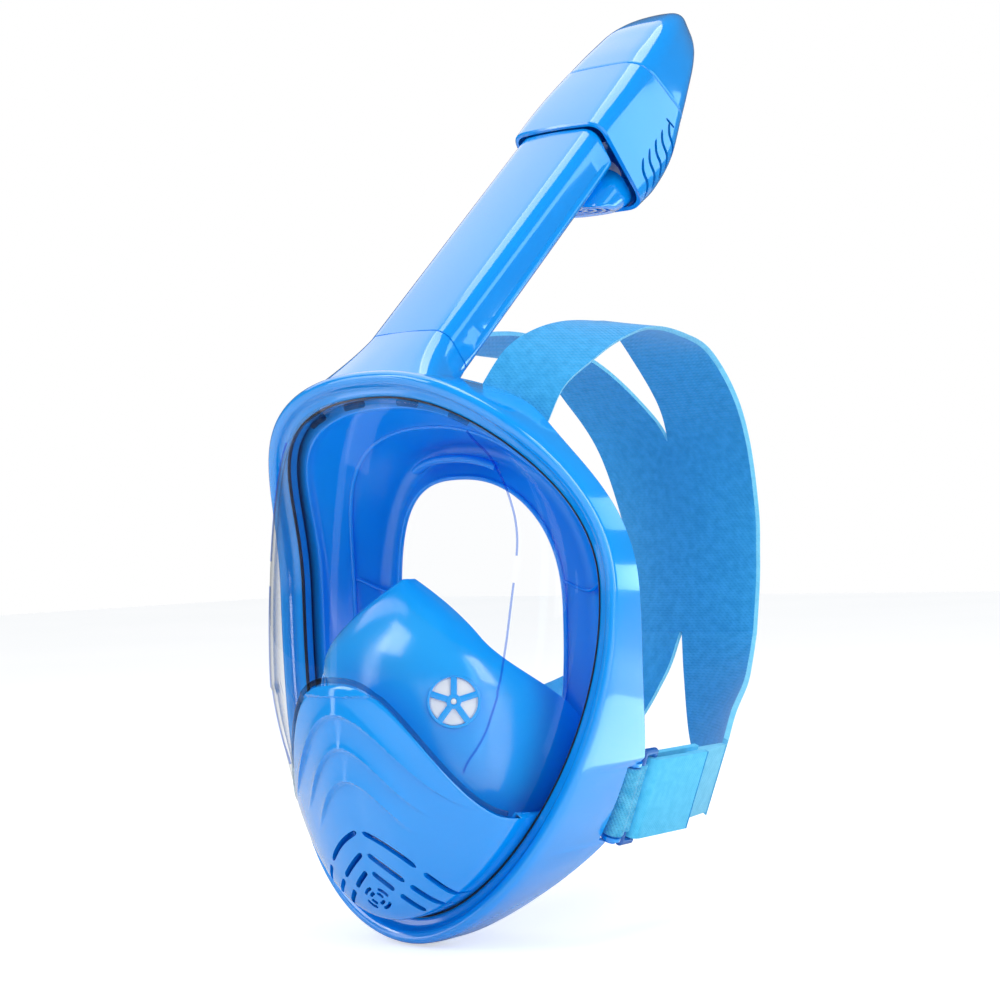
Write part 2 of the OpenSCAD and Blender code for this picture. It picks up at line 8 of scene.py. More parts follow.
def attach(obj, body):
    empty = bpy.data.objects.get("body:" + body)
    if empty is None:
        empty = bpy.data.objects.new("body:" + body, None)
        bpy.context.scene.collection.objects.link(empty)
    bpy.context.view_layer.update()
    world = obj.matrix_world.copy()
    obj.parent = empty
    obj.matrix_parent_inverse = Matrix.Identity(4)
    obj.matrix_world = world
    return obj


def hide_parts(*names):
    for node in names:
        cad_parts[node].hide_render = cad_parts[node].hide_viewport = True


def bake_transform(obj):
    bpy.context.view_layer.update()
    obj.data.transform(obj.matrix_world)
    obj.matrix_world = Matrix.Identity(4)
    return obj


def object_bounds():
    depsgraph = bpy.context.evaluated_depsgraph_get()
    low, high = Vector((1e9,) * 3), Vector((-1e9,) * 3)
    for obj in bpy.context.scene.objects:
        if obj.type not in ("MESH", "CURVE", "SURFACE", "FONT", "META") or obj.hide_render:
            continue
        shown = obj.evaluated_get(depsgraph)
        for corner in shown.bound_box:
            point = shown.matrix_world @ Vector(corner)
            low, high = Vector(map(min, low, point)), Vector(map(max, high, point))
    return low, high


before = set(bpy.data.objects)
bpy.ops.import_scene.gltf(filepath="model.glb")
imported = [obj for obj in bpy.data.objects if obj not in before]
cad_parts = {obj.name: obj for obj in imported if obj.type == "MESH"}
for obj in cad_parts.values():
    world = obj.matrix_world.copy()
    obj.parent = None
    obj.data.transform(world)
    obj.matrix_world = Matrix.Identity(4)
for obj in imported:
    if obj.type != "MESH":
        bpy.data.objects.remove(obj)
cad_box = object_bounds()

MM = 0.001

# ---------------------------------------------------------------- shape numbers, in mm
LENS_W, LENS_TOP, LENS_LOW = 85.0, 86.0, 139.0
RING_Z, TOP_Y = 30.0, -75.0
SIDE_BACK, LOW_BACK = 45.5, 18.0
N_TOP, N_LOW = 2.24, 1.91
BELL_HALF = 62.0
BEAD = 11.8
TUBE_LEAN = math.radians(48.8)
SEAM = np.array([0.0, -50.0, 146.0])
TUBE_W, TUBE_D, TUBE_LEN = 46.0, 25.0, 155.0
HX = TUBE_W / 2
LENS_WALL, CHIN_WALL, CUP_WALL, HEAD_WALL = 2.2, 2.4, 2.2, 2.0
BAND_THICK = 2.6
BAND_HALF, TAIL_HALF, WEB_HALF = 19.0, 17.0, 16.0
RING_Y = 15.5
LENS_FROM, CHIN_TO = math.radians(-41.5), math.radians(-43.2)
CUP_LOW = -30.0
INHALE_AT, INHALE_TURN = np.array([36.2, -67.8, -14.0]), math.radians(-52)
VALVE_HOLE_R = 11.2
CROWN = 1.2
SIDES = ((1, "left"), (-1, "right"))
FIT_AT, FIT_TIP = np.array([72.6, 1.0, -61.5]), math.radians(21)


def spw(v, e):
    """Power that keeps the sign."""
    return np.sign(v) * np.abs(v) ** e


def smooth(t):
    """Eased step from 0 to 1."""
    t = np.clip(t, 0, 1)
    return t * t * (3 - 2 * t)


def setback(a):
    """How far the lens edge lies behind its top, at angle a."""
    c = np.abs(np.cos(a))
    low = LOW_BACK + (SIDE_BACK - LOW_BACK) * c ** 2.8
    return np.where(np.sin(a) >= 0, SIDE_BACK * c ** 3.26, low)


def ring_pt(a, u, v):
    """Point on the lens edge at angle a, moved out by u in XZ and back by v."""
    a = np.asarray(a, float)
    n = np.where(np.sin(a) >= 0, N_TOP, N_LOW)
    h = np.where(np.sin(a) >= 0, LENS_TOP, LENS_LOW)
    x, z = LENS_W * spw(np.cos(a), 2 / n), h * spw(np.sin(a), 2 / n)
    gx = spw(x / LENS_W, n - 1) / LENS_W
    gz = spw(z / h, n - 1) / h
    g = np.hypot(gx, gz)
    return np.stack([x + u * gx / g, TOP_Y + setback(a) + v, RING_Z + z + u * gz / g], -1)


def height_angle(a):
    """Degrees above the level of the ring's centre, from either side."""
    return 90 - np.abs(((np.degrees(a) + 90) % 360) - 180)


def flank(a):
    """Depth of the frame's outer wall, with the jaw wings and the cut-off ends."""
    f = height_angle(a)
    deep = 14 + 38 * np.exp(-((f + 42) / 22) ** 2) + 16 * np.exp(-((f - 58) / 15) ** 2)
    cut = -7 - TOP_Y - setback(a)
    edge = smooth((f + 48.9) / 0.9) * smooth((-31.2 - f) / 0.9)
    return deep + (cut - deep) * edge


def dome_front(x, z):
    """Foremost surface of the lens and chin before it turns in to the edge."""
    low = 1 + 0.08 * np.maximum(0, -10 - z) ** 1.25
    return -103 + x * x / 144 + np.where(z > -10, 0.00094 * (z + 10) ** 2, low)


def dome_y(x, z, inset=0.0, proud=0.0):
    """Front surface of lens and chin at (x, z); inset gives the inner wall."""
    w = LENS_W - inset
    h = np.where(z > RING_Z, LENS_TOP, LENS_LOW) - inset
    n = np.where(z > RING_Z, N_TOP, N_LOW)
    px, pz = np.abs(x / w) ** n, np.abs((z - RING_Z) / h) ** n
    r = np.minimum(1, (px + pz) ** (1 / n))
    s = px / np.maximum(px + pz, 1e-9)
    c = np.sqrt(s ** (2 / n) / (s ** (2 / n) + (1 - s) ** (2 / n) + 1e-12))
    low = LOW_BACK + (SIDE_BACK - LOW_BACK) * c ** 2.8
    yr = TOP_Y + np.where(z > RING_Z, SIDE_BACK * c ** 3.26, low)
    f = dome_front(x, z) + inset - proud
    return yr + (f - yr) * np.maximum(0, 1 - r ** 8) ** 0.125


def bell(x):
    """Height of the edge where the lens meets the chin cover."""
    return -34 + 29 * np.cos(np.pi * np.minimum(1, np.abs(x) / BELL_HALF) ** 1.4)


# ---------------------------------------------------------------- mesh helpers
def shade(me, angle):
    """Smooth shading that stays sharp where faces meet at more than the angle."""
    for p in me.polygons:
        p.use_smooth = True
    me.set_sharp_from_angle(angle=math.radians(angle))


def make(name, verts, faces, smooth_angle=35.0):
    """Object from points in mm, with doubles merged and normals set."""
    me = bpy.data.meshes.new(name)
    me.from_pydata((np.asarray(verts, float) * MM).tolist(), [], faces)
    me.validate()
    ob = bpy.data.objects.new(name, me)
    bpy.context.scene.collection.objects.link(ob)
    bm = bmesh.new()
    bm.from_mesh(me)
    bmesh.ops.remove_doubles(bm, verts=bm.verts, dist=1e-6)
    bmesh.ops.recalc_face_normals(bm, faces=bm.faces)
    bm.to_mesh(me)
    bm.free()
    shade(me, smooth_angle)
    return ob


def grid_faces(n, m, wrap_i=False, wrap_j=False):
    out = []
    for i in range(n if wrap_i else n - 1):
        k = (i + 1) % n
        for j in range(m if wrap_j else m - 1):
            l = (j + 1) % m
            out.append((i * m + j, i * m + l, k * m + l, k * m + j))
    return out


def skin(name, rings, loop=True, caps=False, angle=35.0):
    """Skins a list of closed rings; loop joins the last to the first."""
    p = np.array(rings)
    n, m = p.shape[:2]
    faces = grid_faces(n, m, loop, True)
    if caps:
        faces += [tuple(range(m)), tuple(range((n - 1) * m, n * m))]
    return make(name, p.reshape(-1, 3), faces, angle)


def sheet(name, front, back, gone=None, angle=35.0):
    """Closed wall between two grids; cells marked gone are left open."""
    f, b = np.array(front), np.array(back)
    n, m = f.shape[:2]
    o = n * m
    keep = np.ones((n - 1, m - 1), bool)
    if gone is not None:
        keep &= ~gone
    faces = []
    for i in range(n - 1):
        for j in range(m - 1):
            if not keep[i, j]:
                continue
            q = [i * m + j, i * m + j + 1, (i + 1) * m + j + 1, (i + 1) * m + j]
            faces.append(tuple(q))
            faces.append(tuple(o + v for v in reversed(q)))
            for k, (di, dj) in enumerate(((-1, 0), (0, 1), (1, 0), (0, -1))):
                x, y = i + di, j + dj
                if 0 <= x < n - 1 and 0 <= y < m - 1 and keep[x, y]:
                    continue
                u, w = q[k], q[(k + 1) % 4]
                faces.append((w, u, o + u, o + w))
    return make(name, np.concatenate([f.reshape(-1, 3), b.reshape(-1, 3)]), faces, angle)


def bm_object(name, bm):
    """Turns a bmesh into an object of the scene."""
    me = bpy.data.meshes.new(name)
    bmesh.ops.recalc_face_normals(bm, faces=bm.faces)
    bm.to_mesh(me)
    bm.free()
    ob = bpy.data.objects.new(name, me)
    bpy.context.scene.collection.objects.link(ob)
    return ob


def bridge(bm, rings):
    """Joins closed loops of bmesh vertices into one capped solid."""
    m = len(rings[0])
    for k in range(len(rings) - 1):
        for j in range(m):
            l = (j + 1) % m
            bm.faces.new((rings[k][j], rings[k][l], rings[k + 1][l], rings[k + 1][j]))
    bm.faces.new(rings[0])
    bm.faces.new(rings[-1])


def fillet(poly, radii, steps=5):
    """Rounds the corners of a closed 2-D polygon."""
    out = []
    n = len(poly)
    for i in range(n):
        p, a, b = (np.array(poly[k % n], float) for k in (i, i - 1, i + 1))
        r = radii[i]
        if r <= 0:
            out.append(p)
            continue
        da, db = a - p, b - p
        la, lb = np.linalg.norm(da), np.linalg.norm(db)
        t = min(r, 0.48 * la, 0.48 * lb)
        p0, p2 = p + da / la * t, p + db / lb * t
        for s in np.linspace(0, 1, steps + 1):
            out.append((1 - s) ** 2 * p0 + 2 * s * (1 - s) * p + s * s * p2)
    return np.array(out)


def apply_all(ob):
    dg = bpy.context.evaluated_depsgraph_get()
    me = bpy.data.meshes.new_from_object(ob.evaluated_get(dg))
    old = ob.data
    ob.modifiers.clear()
    ob.data = me
    bpy.data.meshes.remove(old)


def tube_space(p):
    """Local (x, depth, run) along the snorkel to the row frame, in mm."""
    p = np.asarray(p, float)
    c, s = math.cos(TUBE_LEAN), math.sin(TUBE_LEAN)
    x, q, r = p[..., 0], p[..., 1], p[..., 2]
    return np.stack([SEAM[0] + x, SEAM[1] + c * q + s * r, SEAM[2] - s * q + c * r], -1)


def fit_space(p, side=1):
    """Local (out, back, along the bar) of a strap fitting to the row frame."""
    p = np.asarray(p, float)
    c, s = math.cos(FIT_TIP), math.sin(FIT_TIP)
    x = FIT_AT[0] + c * p[..., 0] + s * p[..., 2]
    z = FIT_AT[2] - s * p[..., 0] + c * p[..., 2]
    return np.stack([side * x, FIT_AT[1] + p[..., 1], z], -1)


def axes_matrix(x, y, z, at):
    """Placement from three axes and a point in metres."""
    return Matrix(((x[0], y[0], z[0], at[0]), (x[1], y[1], z[1], at[1]),
                   (x[2], y[2], z[2], at[2]), (0, 0, 0, 1)))


def catmull(a, b, c, d, t):
    """Catmull-Rom point between b and c."""
    return 0.5 * (2 * b + (c - a) * t + (2 * a - 5 * b + 4 * c - d) * t * t
                  + (3 * b - a - 3 * c + d) * t ** 3)


def oval(hx, hy, n, m=96):
    """Superellipse of half sizes hx and hy."""
    a = np.linspace(0, 2 * np.pi, m, endpoint=False)
    return np.stack([hx * spw(np.cos(a), 2 / n), hy * spw(np.sin(a), 2 / n)], -1)


# ---------------------------------------------------------------- materials
def new_material(name):
    """Material, its node tree, its main shader and its links."""
    mat = bpy.data.materials.new(name)
    mat.use_nodes = True
    nt = mat.node_tree
    return mat, nt, nt.nodes["Principled BSDF"], nt.links


def noise(nt, co, scale, detail=2.0):
    """Noise in the object's own coordinates."""
    no = nt.nodes.new("ShaderNodeTexNoise")
    no.inputs["Scale"].default_value = scale
    no.inputs["Detail"].default_value = detail
    nt.links.new(co.outputs["Object"], no.inputs["Vector"])
    return no.outputs["Fac"]


def shades(nt, scale, dark, light, detail=2.0):
    """A noise-driven ramp between two close colours."""
    co = nt.nodes.new("ShaderNodeTexCoord")
    ra = nt.nodes.new("ShaderNodeValToRGB")
    ra.color_ramp.elements[0].position = 0.35
    ra.color_ramp.elements[1].position = 0.65
    ra.color_ramp.elements[0].color = (*dark, 1)
    ra.color_ramp.elements[1].color = (*light, 1)
    nt.links.new(noise(nt, co, scale, detail), ra.inputs["Fac"])
    return co, ra.outputs["Color"]


def bump(nt, height, strength, distance, into):
    b = nt.nodes.new("ShaderNodeBump")
    b.inputs["Strength"].default_value = strength
    b.inputs["Distance"].default_value = distance
    nt.links.new(height, b.inputs["Height"])
    nt.links.new(b.outputs["Normal"], into)


def maths(nt, kind, a, b):
    """A maths node; a and b are sockets or plain numbers."""
    node = nt.nodes.new("ShaderNodeMath")
    node.operation = kind
    for k, v in enumerate((a, b)):
        if isinstance(v, float):
            node.inputs[k].default_value = v
        else:
            nt.links.new(v, node.inputs[k])
    return node.outputs["Value"]


def mix_shader(nt, fac, a, b):
    mix = nt.nodes.new("ShaderNodeMixShader")
    for k, v in enumerate((fac, a, b)):
        nt.links.new(v, mix.inputs[k])
    return mix.outputs["Shader"]


def plastic(name, dark, light, rough=0.12, coat=0.6):
    mat, nt, bs, links = new_material(name)
    co, color = shades(nt, 9.0, dark, light)
    links.new(color, bs.inputs["Base Color"])
    bs.inputs["Roughness"].default_value = rough
    bs.inputs["Coat Weight"].default_value = coat
    bs.inputs["Coat Roughness"].default_value = 0.04
    bump(nt, noise(nt, co, 420.0), 0.02, 0.0002, bs.inputs["Normal"])
    return mat


def silicone(name, dark, light, rough=0.28, through=0.12, coat=0.15):
    mat, nt, bs, links = new_material(name)
    co, color = shades(nt, 14.0, dark, light)
    links.new(color, bs.inputs["Base Color"])
    bs.inputs["Roughness"].default_value = rough
    bs.inputs["Subsurface Weight"].default_value = through
    bs.inputs["Subsurface Radius"].default_value = (0.002, 0.006, 0.012)
    bs.inputs["Coat Weight"].default_value = coat
    bs.inputs["Coat Roughness"].default_value = 0.2
    bump(nt, noise(nt, co, 900.0), 0.06, 0.0002, bs.inputs["Normal"])
    return mat


def cloth(name, dark, light, scale=1500.0, strength=0.5):
    """Fine knit: two crossed waves over a noise-driven colour."""
    mat, nt, bs, links = new_material(name)
    co, color = shades(nt, 260.0, dark, light, detail=6.0)
    links.new(color, bs.inputs["Base Color"])
    bs.inputs["Roughness"].default_value = 0.75
    bs.inputs["Sheen Weight"].default_value = 0.25
    bs.inputs["Sheen Roughness"].default_value = 0.4
    bs.inputs["Specular IOR Level"].default_value = 0.3
    waves = []
    for axis in ("Z", "DIAGONAL"):
        wv = nt.nodes.new("ShaderNodeTexWave")
        wv.bands_direction = axis
        wv.inputs["Scale"].default_value = scale / (2 * math.pi)
        wv.inputs["Distortion"].default_value = 0.6
        links.new(co.outputs["Object"], wv.inputs["Vector"])
        waves.append(wv.outputs["Fac"])
    bump(nt, maths(nt, "MULTIPLY", *waves), strength, 0.0003, bs.inputs["Normal"])
    return mat


def clear_plastic(name, tint, edge, mid=(0.96, 0.8)):
    """Thin clear wall: lets light straight through, reflects at grazing angles."""
    mat, nt, bs, links = new_material(name)
    nt.nodes.remove(bs)
    co = nt.nodes.new("ShaderNodeTexCoord")
    lay = nt.nodes.new("ShaderNodeLayerWeight")
    lay.inputs["Blend"].default_value = 0.28
    ramp = nt.nodes.new("ShaderNodeValToRGB")
    ramp.color_ramp.elements[0].position = 0.35
    ramp.color_ramp.elements[0].color = (*tint, 1)
    ramp.color_ramp.elements[1].position = 1.0
    ramp.color_ramp.elements[1].color = (*edge, 1)
    near = ramp.color_ramp.elements.new(mid[0])
    near.color = (*[c * mid[1] for c in tint], 1)
    links.new(lay.outputs["Facing"], ramp.inputs["Fac"])
    tr = nt.nodes.new("ShaderNodeBsdfTransparent")
    links.new(ramp.outputs["Color"], tr.inputs["Color"])
    gl = nt.nodes.new("ShaderNodeBsdfGlossy")
    gl.inputs["Color"].default_value = (0.95, 0.97, 1.0, 1)
    gl.inputs["Roughness"].default_value = 0.03
    bump(nt, noise(nt, co, 30.0), 0.015, 0.001, gl.inputs["Normal"])
    fr = nt.nodes.new("ShaderNodeFresnel")
    fr.inputs["IOR"].default_value = 1.22
    geo = nt.nodes.new("ShaderNodeNewGeometry")
    front = maths(nt, "SUBTRACT", 1.0, geo.outputs["Backfacing"])
    fac = maths(nt, "MULTIPLY", fr.outputs["Fac"], front)
    mix = mix_shader(nt, fac, tr.outputs["BSDF"], gl.outputs["BSDF"])
    links.new(mix, nt.nodes["Material Output"].inputs["Surface"])
    return mat


SHELL = plastic("gloss_shell", (0.0, 0.315, 0.93), (0.002, 0.35, 0.98), coat=0.9)
RING = plastic("ring_plastic", (0.004, 0.09, 0.40), (0.008, 0.12, 0.48), rough=0.25, coat=0.2)
SKIN = silicone("silicone", (0.0, 0.29, 0.96), (0.0, 0.335, 0.99), through=0.0, coat=0.3)
CUP = silicone("cup_silicone", (0.0, 0.36, 0.97), (0.012, 0.43, 1.0), rough=0.16, through=0.0, coat=0.9)
WHITE = plastic("white_plastic", (0.82, 0.84, 0.87), (0.9, 0.91, 0.93), rough=0.35, coat=0.1)
FLAP = silicone("valve_silicone", (0.86, 0.88, 0.9), (0.92, 0.93, 0.95), through=0.0)
SEAL = silicone("seal_rubber", (0.02, 0.08, 0.4), (0.03, 0.1, 0.5), rough=0.5)
# Near-black ring colour: painted shade of the gap between the lens flange and the frame's lip.
BLACK = silicone("lens_gap_shade", (0.02, 0.014, 0.01), (0.04, 0.03, 0.025), rough=0.35, through=0.0)
STRAP = cloth("elastic_band", (0.02, 0.32, 0.70), (0.035, 0.38, 0.80))
STRAP_EDGE = cloth("elastic_edge", (0.16, 0.60, 0.90), (0.20, 0.66, 0.94))
TAB = cloth("woven_tab", (0.07, 0.56, 0.90), (0.10, 0.62, 0.96), scale=2600.0, strength=0.3)
TAIL = cloth("woven_tail", (0.13, 0.56, 0.84), (0.17, 0.62, 0.90), scale=2600.0, strength=0.3)
WEB = cloth("woven_webbing", (0.04, 0.40, 0.72), (0.12, 0.58, 0.88), scale=1700.0, strength=1.0)
CLEAR = clear_plastic("clear_lens", (0.99, 0.995, 1.0), (0.12, 0.16, 0.26))
# Grey tint with near-black brownish edges on the lower rim and the top clips: painted shade for the dark
# lines at their edges.
RIM_SHADE = clear_plastic("clear_rim_painted_shade", (0.66, 0.74, 0.80), (0.08, 0.06, 0.05), (0.8, 0.6))
# Blue tint on the thin ridges along the lens fold: a painted reflection streak on a real crease.
CREASE_STREAK = clear_plastic("lens_crease_painted_streak", (0.62, 0.70, 0.93), (0.2, 0.25, 0.55), (0.8, 0.7))


def dress(me, mat):
    me.materials.clear()
    me.materials.append(mat)


def finish_piece(ob, body, mat, slot, *nodes):
    """Gives a piece its material, the CAD nodes it replaces and its body; slot is not used."""
    dress(ob.data, mat)
    if nodes:
        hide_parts(*nodes)
    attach(ob, body)


# ---------------------------------------------------------------- camera and light
CAM_AZ, CAM_EL, CAM_ROLL = math.radians(37.98), math.radians(-0.764), math.radians(-1.868)
CAM_AT = (0.63902, -0.80370, 0.05769)
FLOOR_Z = cad_box[0][2] / MM - 1.0
FLOOR_HALF = 4000.0
FLOOR_GLOW = 0.6


def build_camera():
    az, el, roll = CAM_AZ, CAM_EL, CAM_ROLL
    back = Vector((math.sin(az) * math.cos(el), -math.cos(az) * math.cos(el), math.sin(el)))
    right = Vector((math.cos(az), math.sin(az), 0))
    up = back.cross(right)
    c, s = math.cos(roll), math.sin(roll)
    rx, ux = right * c + up * s, up * c - right * s
    cam = bpy.data.objects.new("camera", bpy.data.cameras.new("camera"))
    cam.matrix_world = axes_matrix(rx, ux, back, CAM_AT)
    cam.data.sensor_width = 36
    cam.data.lens = 81.0
    cam.data.clip_start = 0.01
    bpy.context.scene.collection.objects.link(cam)
    bpy.context.scene.camera = cam


def build_floor():
    """Pale floor that glows a little to the camera, so that it stays near white."""
    h = FLOOR_HALF
    corners = [(-h, -h, FLOOR_Z), (h, -h, FLOOR_Z), (h, h, FLOOR_Z), (-h, h, FLOOR_Z)]
    floor = make("floor", corners, [(0, 1, 2, 3)])
    mat, nt, bs, links = new_material("floor")
    color = shades(nt, 2.0, (0.93, 0.935, 0.94), (0.95, 0.95, 0.955))[1]
    links.new(color, bs.inputs["Base Color"])
    bs.inputs["Roughness"].default_value = 0.2
    bs.inputs["Specular IOR Level"].default_value = 0.3
    links.new(color, bs.inputs["Emission Color"])
    sight = nt.nodes.new("ShaderNodeLightPath").outputs["Is Camera Ray"]
    links.new(maths(nt, "MULTIPLY", sight, FLOOR_GLOW), bs.inputs["Emission Strength"])
    floor.data.materials.append(mat)


def build_world():
    """White to the camera, a soft fill for diffuse light, and dim in reflections."""
    world = bpy.data.worlds.new("studio")
    bpy.context.scene.world = world
    world.use_nodes = True
    nt = world.node_tree
    soft = nt.nodes["Background"]
    dim = nt.nodes.new("ShaderNodeBackground")
    seen = nt.nodes.new("ShaderNodeBackground")
    looks = ((soft, (1.0, 1.0, 1.0), 0.72), (dim, (0.75, 0.88, 1.0), 0.16), (seen, (1.0, 1.0, 1.0), 1.0))
    for node, color, strength in looks:
        node.inputs["Color"].default_value = (*color, 1)
        node.inputs["Strength"].default_value = strength
    soft, dim, seen = (node.outputs["Background"] for node in (soft, dim, seen))
    ray = nt.nodes.new("ShaderNodeLightPath")
    unseen = mix_shader(nt, ray.outputs["Is Glossy Ray"], soft, dim)
    pick = mix_shader(nt, ray.outputs["Is Camera Ray"], unseen, seen)
    nt.links.new(pick, nt.nodes["World Output"].inputs["Surface"])


def area(name, at, aim, size, power, size_y=None):
    li = bpy.data.lights.new(name, "AREA")
    li.shape = "RECTANGLE"
    li.size, li.size_y, li.energy = size, size_y or size, power
    ob = bpy.data.objects.new(name, li)
    ob.location = at
    d = Vector(aim) - Vector(at)
    ob.rotation_euler = d.to_track_quat("-Z", "Y").to_euler()
    bpy.context.scene.collection.objects.link(ob)
    return ob


def card(name, at, aim, wide, tall, radiance, tint=(1.0, 1.0, 1.0)):
    """A panel that only shows in glossy surfaces."""
    ob = area(name, at, aim, wide, radiance * math.pi * wide * tall, tall)
    ob.data.color = tint
    ob.visible_camera = False
    ob.visible_diffuse = False
    ob.visible_transmission = False
    return ob


def build_lights():
    cyan = (0.5, 0.86, 1.0)
    card("tube_card", (-0.8, 0.22, 1.22), (0, 0.05, 0.2), 1.5, 1.3, 1.3, (0.95, 0.88, 1.0))
    card("flank_card", (0.777, 0.969, 0.062), (0.09, -0.02, 0.04), 1.1, 0.12, 4.5, cyan)
    card("head_card", (0.80, 1.0, 0.47), (0.03, 0.1, 0.24), 0.9, 0.24, 2.2, cyan)
    card("rim_card", (1.25, -0.5, 0.15), (0, -0.05, 0.05), 0.1, 1.3, 4.0, cyan)
    card("front_card", (-0.9, -1.1, 0.35), (0, -0.05, 0.03), 0.16, 1.2, 2.5)
    low_at = (0.205, 0.19, FLOOR_Z * MM + 0.002)
    low = card("low_card", low_at, (0.205, 0.19, 1.0), 0.4, 0.19, 2.5, cyan)
    low.rotation_euler = (math.pi, 0, math.radians(-62))
    area("key", (-0.75, -1.35, 1.15), (0, -0.02, 0.08), 0.7, 9, 1.1)
    area("side", (1.5, -0.15, 0.55), (0.02, 0, 0.05), 0.5, 8, 1.2)
    area("top", (0.1, 0.3, 1.7), (0, 0, 0.1), 0.9, 8)
    bpy.context.scene.view_settings.view_transform = "Standard"


# ---------------------------------------------------------------- lens and chin cover
def ease(n):
    """n steps from -1 to 1, closer together at the ends."""
    return np.sin(np.linspace(-1, 1, n) * math.pi / 2)


def flange_rows(a, wall):
    """Outer and inner rows of the flange that sits in the frame."""
    outer = ((8.4, 9.2), (8.4, 7.3), (0, 7.3), (0, 4), (0, 1))
    inner = ((7.8, 9.4), (-wall, 9.4), (-wall, 8), (-wall, 4), (-wall, 1))
    return [[ring_pt(a, u, v) for u, v in pairs] for pairs in (outer, inner)]


def dome_rows(a, bx, bz, rows, inset, proud):
    """Rows of the dome from the ring arc at angles a to the line (bx, bz)."""
    w = (LENS_W - inset) / LENS_W
    p = ring_pt(a, 0, 0)
    rx, rz = p[:, 0] * w, RING_Z + (p[:, 2] - RING_Z) * w
    out = []
    for t in rows:
        x, z = rx + (bx * w - rx) * t, rz + (bz - rz) * t
        out.append(np.stack([x, dome_y(x, z, inset, proud(x, z)), z], -1))
    return out


# where the lens turns from its front panel into its side panels: height, half width
FOLD = np.array([(-43.4, 47.1), (-29.0, 57.7), (-8.3, 64.9), (12.2, 67.6), (32.7, 69.3), (45.0, 70.2),
                 (57.4, 70.2), (70.0, 67.7), (82.6, 63.4), (95.5, 56.1), (100.5, 47.0)])


def lens_proud(x, z):
    """The front panel stands a little proud inside the fold line."""
    half = np.interp(z, FOLD[:, 0], FOLD[:, 1])
    d = half - np.abs(x)
    keep = smooth((z + 46) / 16) * smooth((104 - z) / 12)
    return 0.75 * keep * (smooth((d + 0.9) / 1.8) - smooth((d - 1.5) / 26))


def build_lens():
    s = ease(200)
    a = math.pi / 2 - s * (math.pi / 2 - LENS_FROM)
    bx = s * (BELL_HALF - 1)
    bz = bell(bx) + 0.3
    rows = 0.003 + 0.997 * np.linspace(0, 1, 70) ** 2.4
    front, back = flange_rows(a, LENS_WALL)
    front += dome_rows(a, bx, bz, rows, 0, lens_proud)
    back += dome_rows(a, bx, bz, rows, LENS_WALL, lens_proud)
    ob = sheet("lens", front, back, angle=50)
    finish_piece(ob, "mask", CLEAR, "clear_lens", "visor_lens")


# wavy raised edges: height at the middle, drop, half period and reach, in mm
RIDGES = ((-17.5, 20.5, 56.0, 56.0), (-32.0, 15.5, 42.0, 38.0), (-46.0, 13.5, 38.0, 30.0))


def chin_proud(x, z):
    out = np.full(np.shape(x), 1.0)
    for top, drop, half, reach in RIDGES:
        line = top - drop * (1 - np.cos(np.pi * np.minimum(np.abs(x), half) / half))
        d = line - z
        fade = smooth((reach - np.abs(x)) / (0.55 * reach))
        rise = np.where(d < 0, np.exp(d / 6.5), np.exp(-((d / 0.8) ** 2)))
        out = out + 2.1 * fade * rise
    lip = bell(x) - z
    return out - 0.9 * np.exp(-np.maximum(0, lip) / 0.8)


SLOTS = (((1.6, 23.5), (26.0, 34.5), (-68.0, -0.30, -0.0145)),
         ((1.6, 16.6), (18.6, 28.0), (-77.0, -0.66, -0.0058)),
         ((1.6, 10.6), (12.8, 20.4), (-85.0, -0.75, -0.006)))


def ribbon_cutter(bm, xs, zs, thick, depth=6.0):
    """Closed block that follows (xs, zs) on the dome, thick across, cutting through it."""
    xs, zs = np.asarray(xs, float), np.asarray(zs, float)
    dx, dz = np.gradient(xs), np.gradient(zs)
    g = np.hypot(dx, dz)
    nx, nz = -dz / g, dx / g
    n = len(xs)
    end = np.sqrt(np.clip(1 - ((np.arange(n) - (n - 1) / 2) / ((n - 1) / 2)) ** 12, 0.02, 1))
    rings = []
    for k in range(n):
        h = thick / 2 * end[k]
        q = []
        for sx, sy in ((1, -1), (1, 1), (-1, 1), (-1, -1)):
            x, z = xs[k] + sx * h * nx[k], zs[k] + sx * h * nz[k]
            y = float(dome_y(xs[k], zs[k])) + sy * depth
            q.append(bm.verts.new((x * MM, y * MM, z * MM)))
        rings.append(q)
    bridge(bm, rings)


def cut(ob, bm, name):
    """Subtracts the bmesh from the object."""
    tool = bm_object(name, bm)
    mod = ob.modifiers.new("Boolean", "BOOLEAN")
    mod.object = tool
    mod.operation = "DIFFERENCE"
    mod.solver = "MANIFOLD"
    apply_all(ob)
    bpy.data.objects.remove(tool)
    shade(ob.data, 32)


def build_chin():
    s = ease(230)
    a = -math.pi / 2 + s * (math.pi / 2 + CHIN_TO)
    bx = s * (BELL_HALF - 1.2)
    bz = bell(bx) - 0.3
    rows = np.concatenate([0.004 + 0.1 * np.linspace(0, 1, 22) ** 1.6,
                           np.linspace(0.11, 1, 150)])
    front, back = flange_rows(a, CHIN_WALL)
    front += dome_rows(a, bx, bz, rows, 0, chin_proud)
    back += dome_rows(a, bx, bz, rows, CHIN_WALL, lambda x, z: 0.3)
    ob = sheet("chin_shell", front, back)
    bm = bmesh.new()
    for inner, outer, (z0, m1, m2) in SLOTS:
        for lo, hi in (inner, outer):
            x = np.linspace(lo, hi, 26)
            z = z0 + m1 * x + m2 * x * x
            for side in (1, -1):
                ribbon_cutter(bm, side * x, z, 2.5)
    for r, half in ((5.6, 30), (2.9, 34)):
        for q in range(4):
            t = np.radians(90 * q + 45 + np.linspace(-half, half, 14))
            ribbon_cutter(bm, r * 1.15 * np.cos(t), -98.0 + r * 0.8 * np.sin(t), 1.5, 5.0)
    cut(ob, bm, "vents")
    finish_piece(ob, "mask", SHELL, "gloss_shell", "chin_cover")


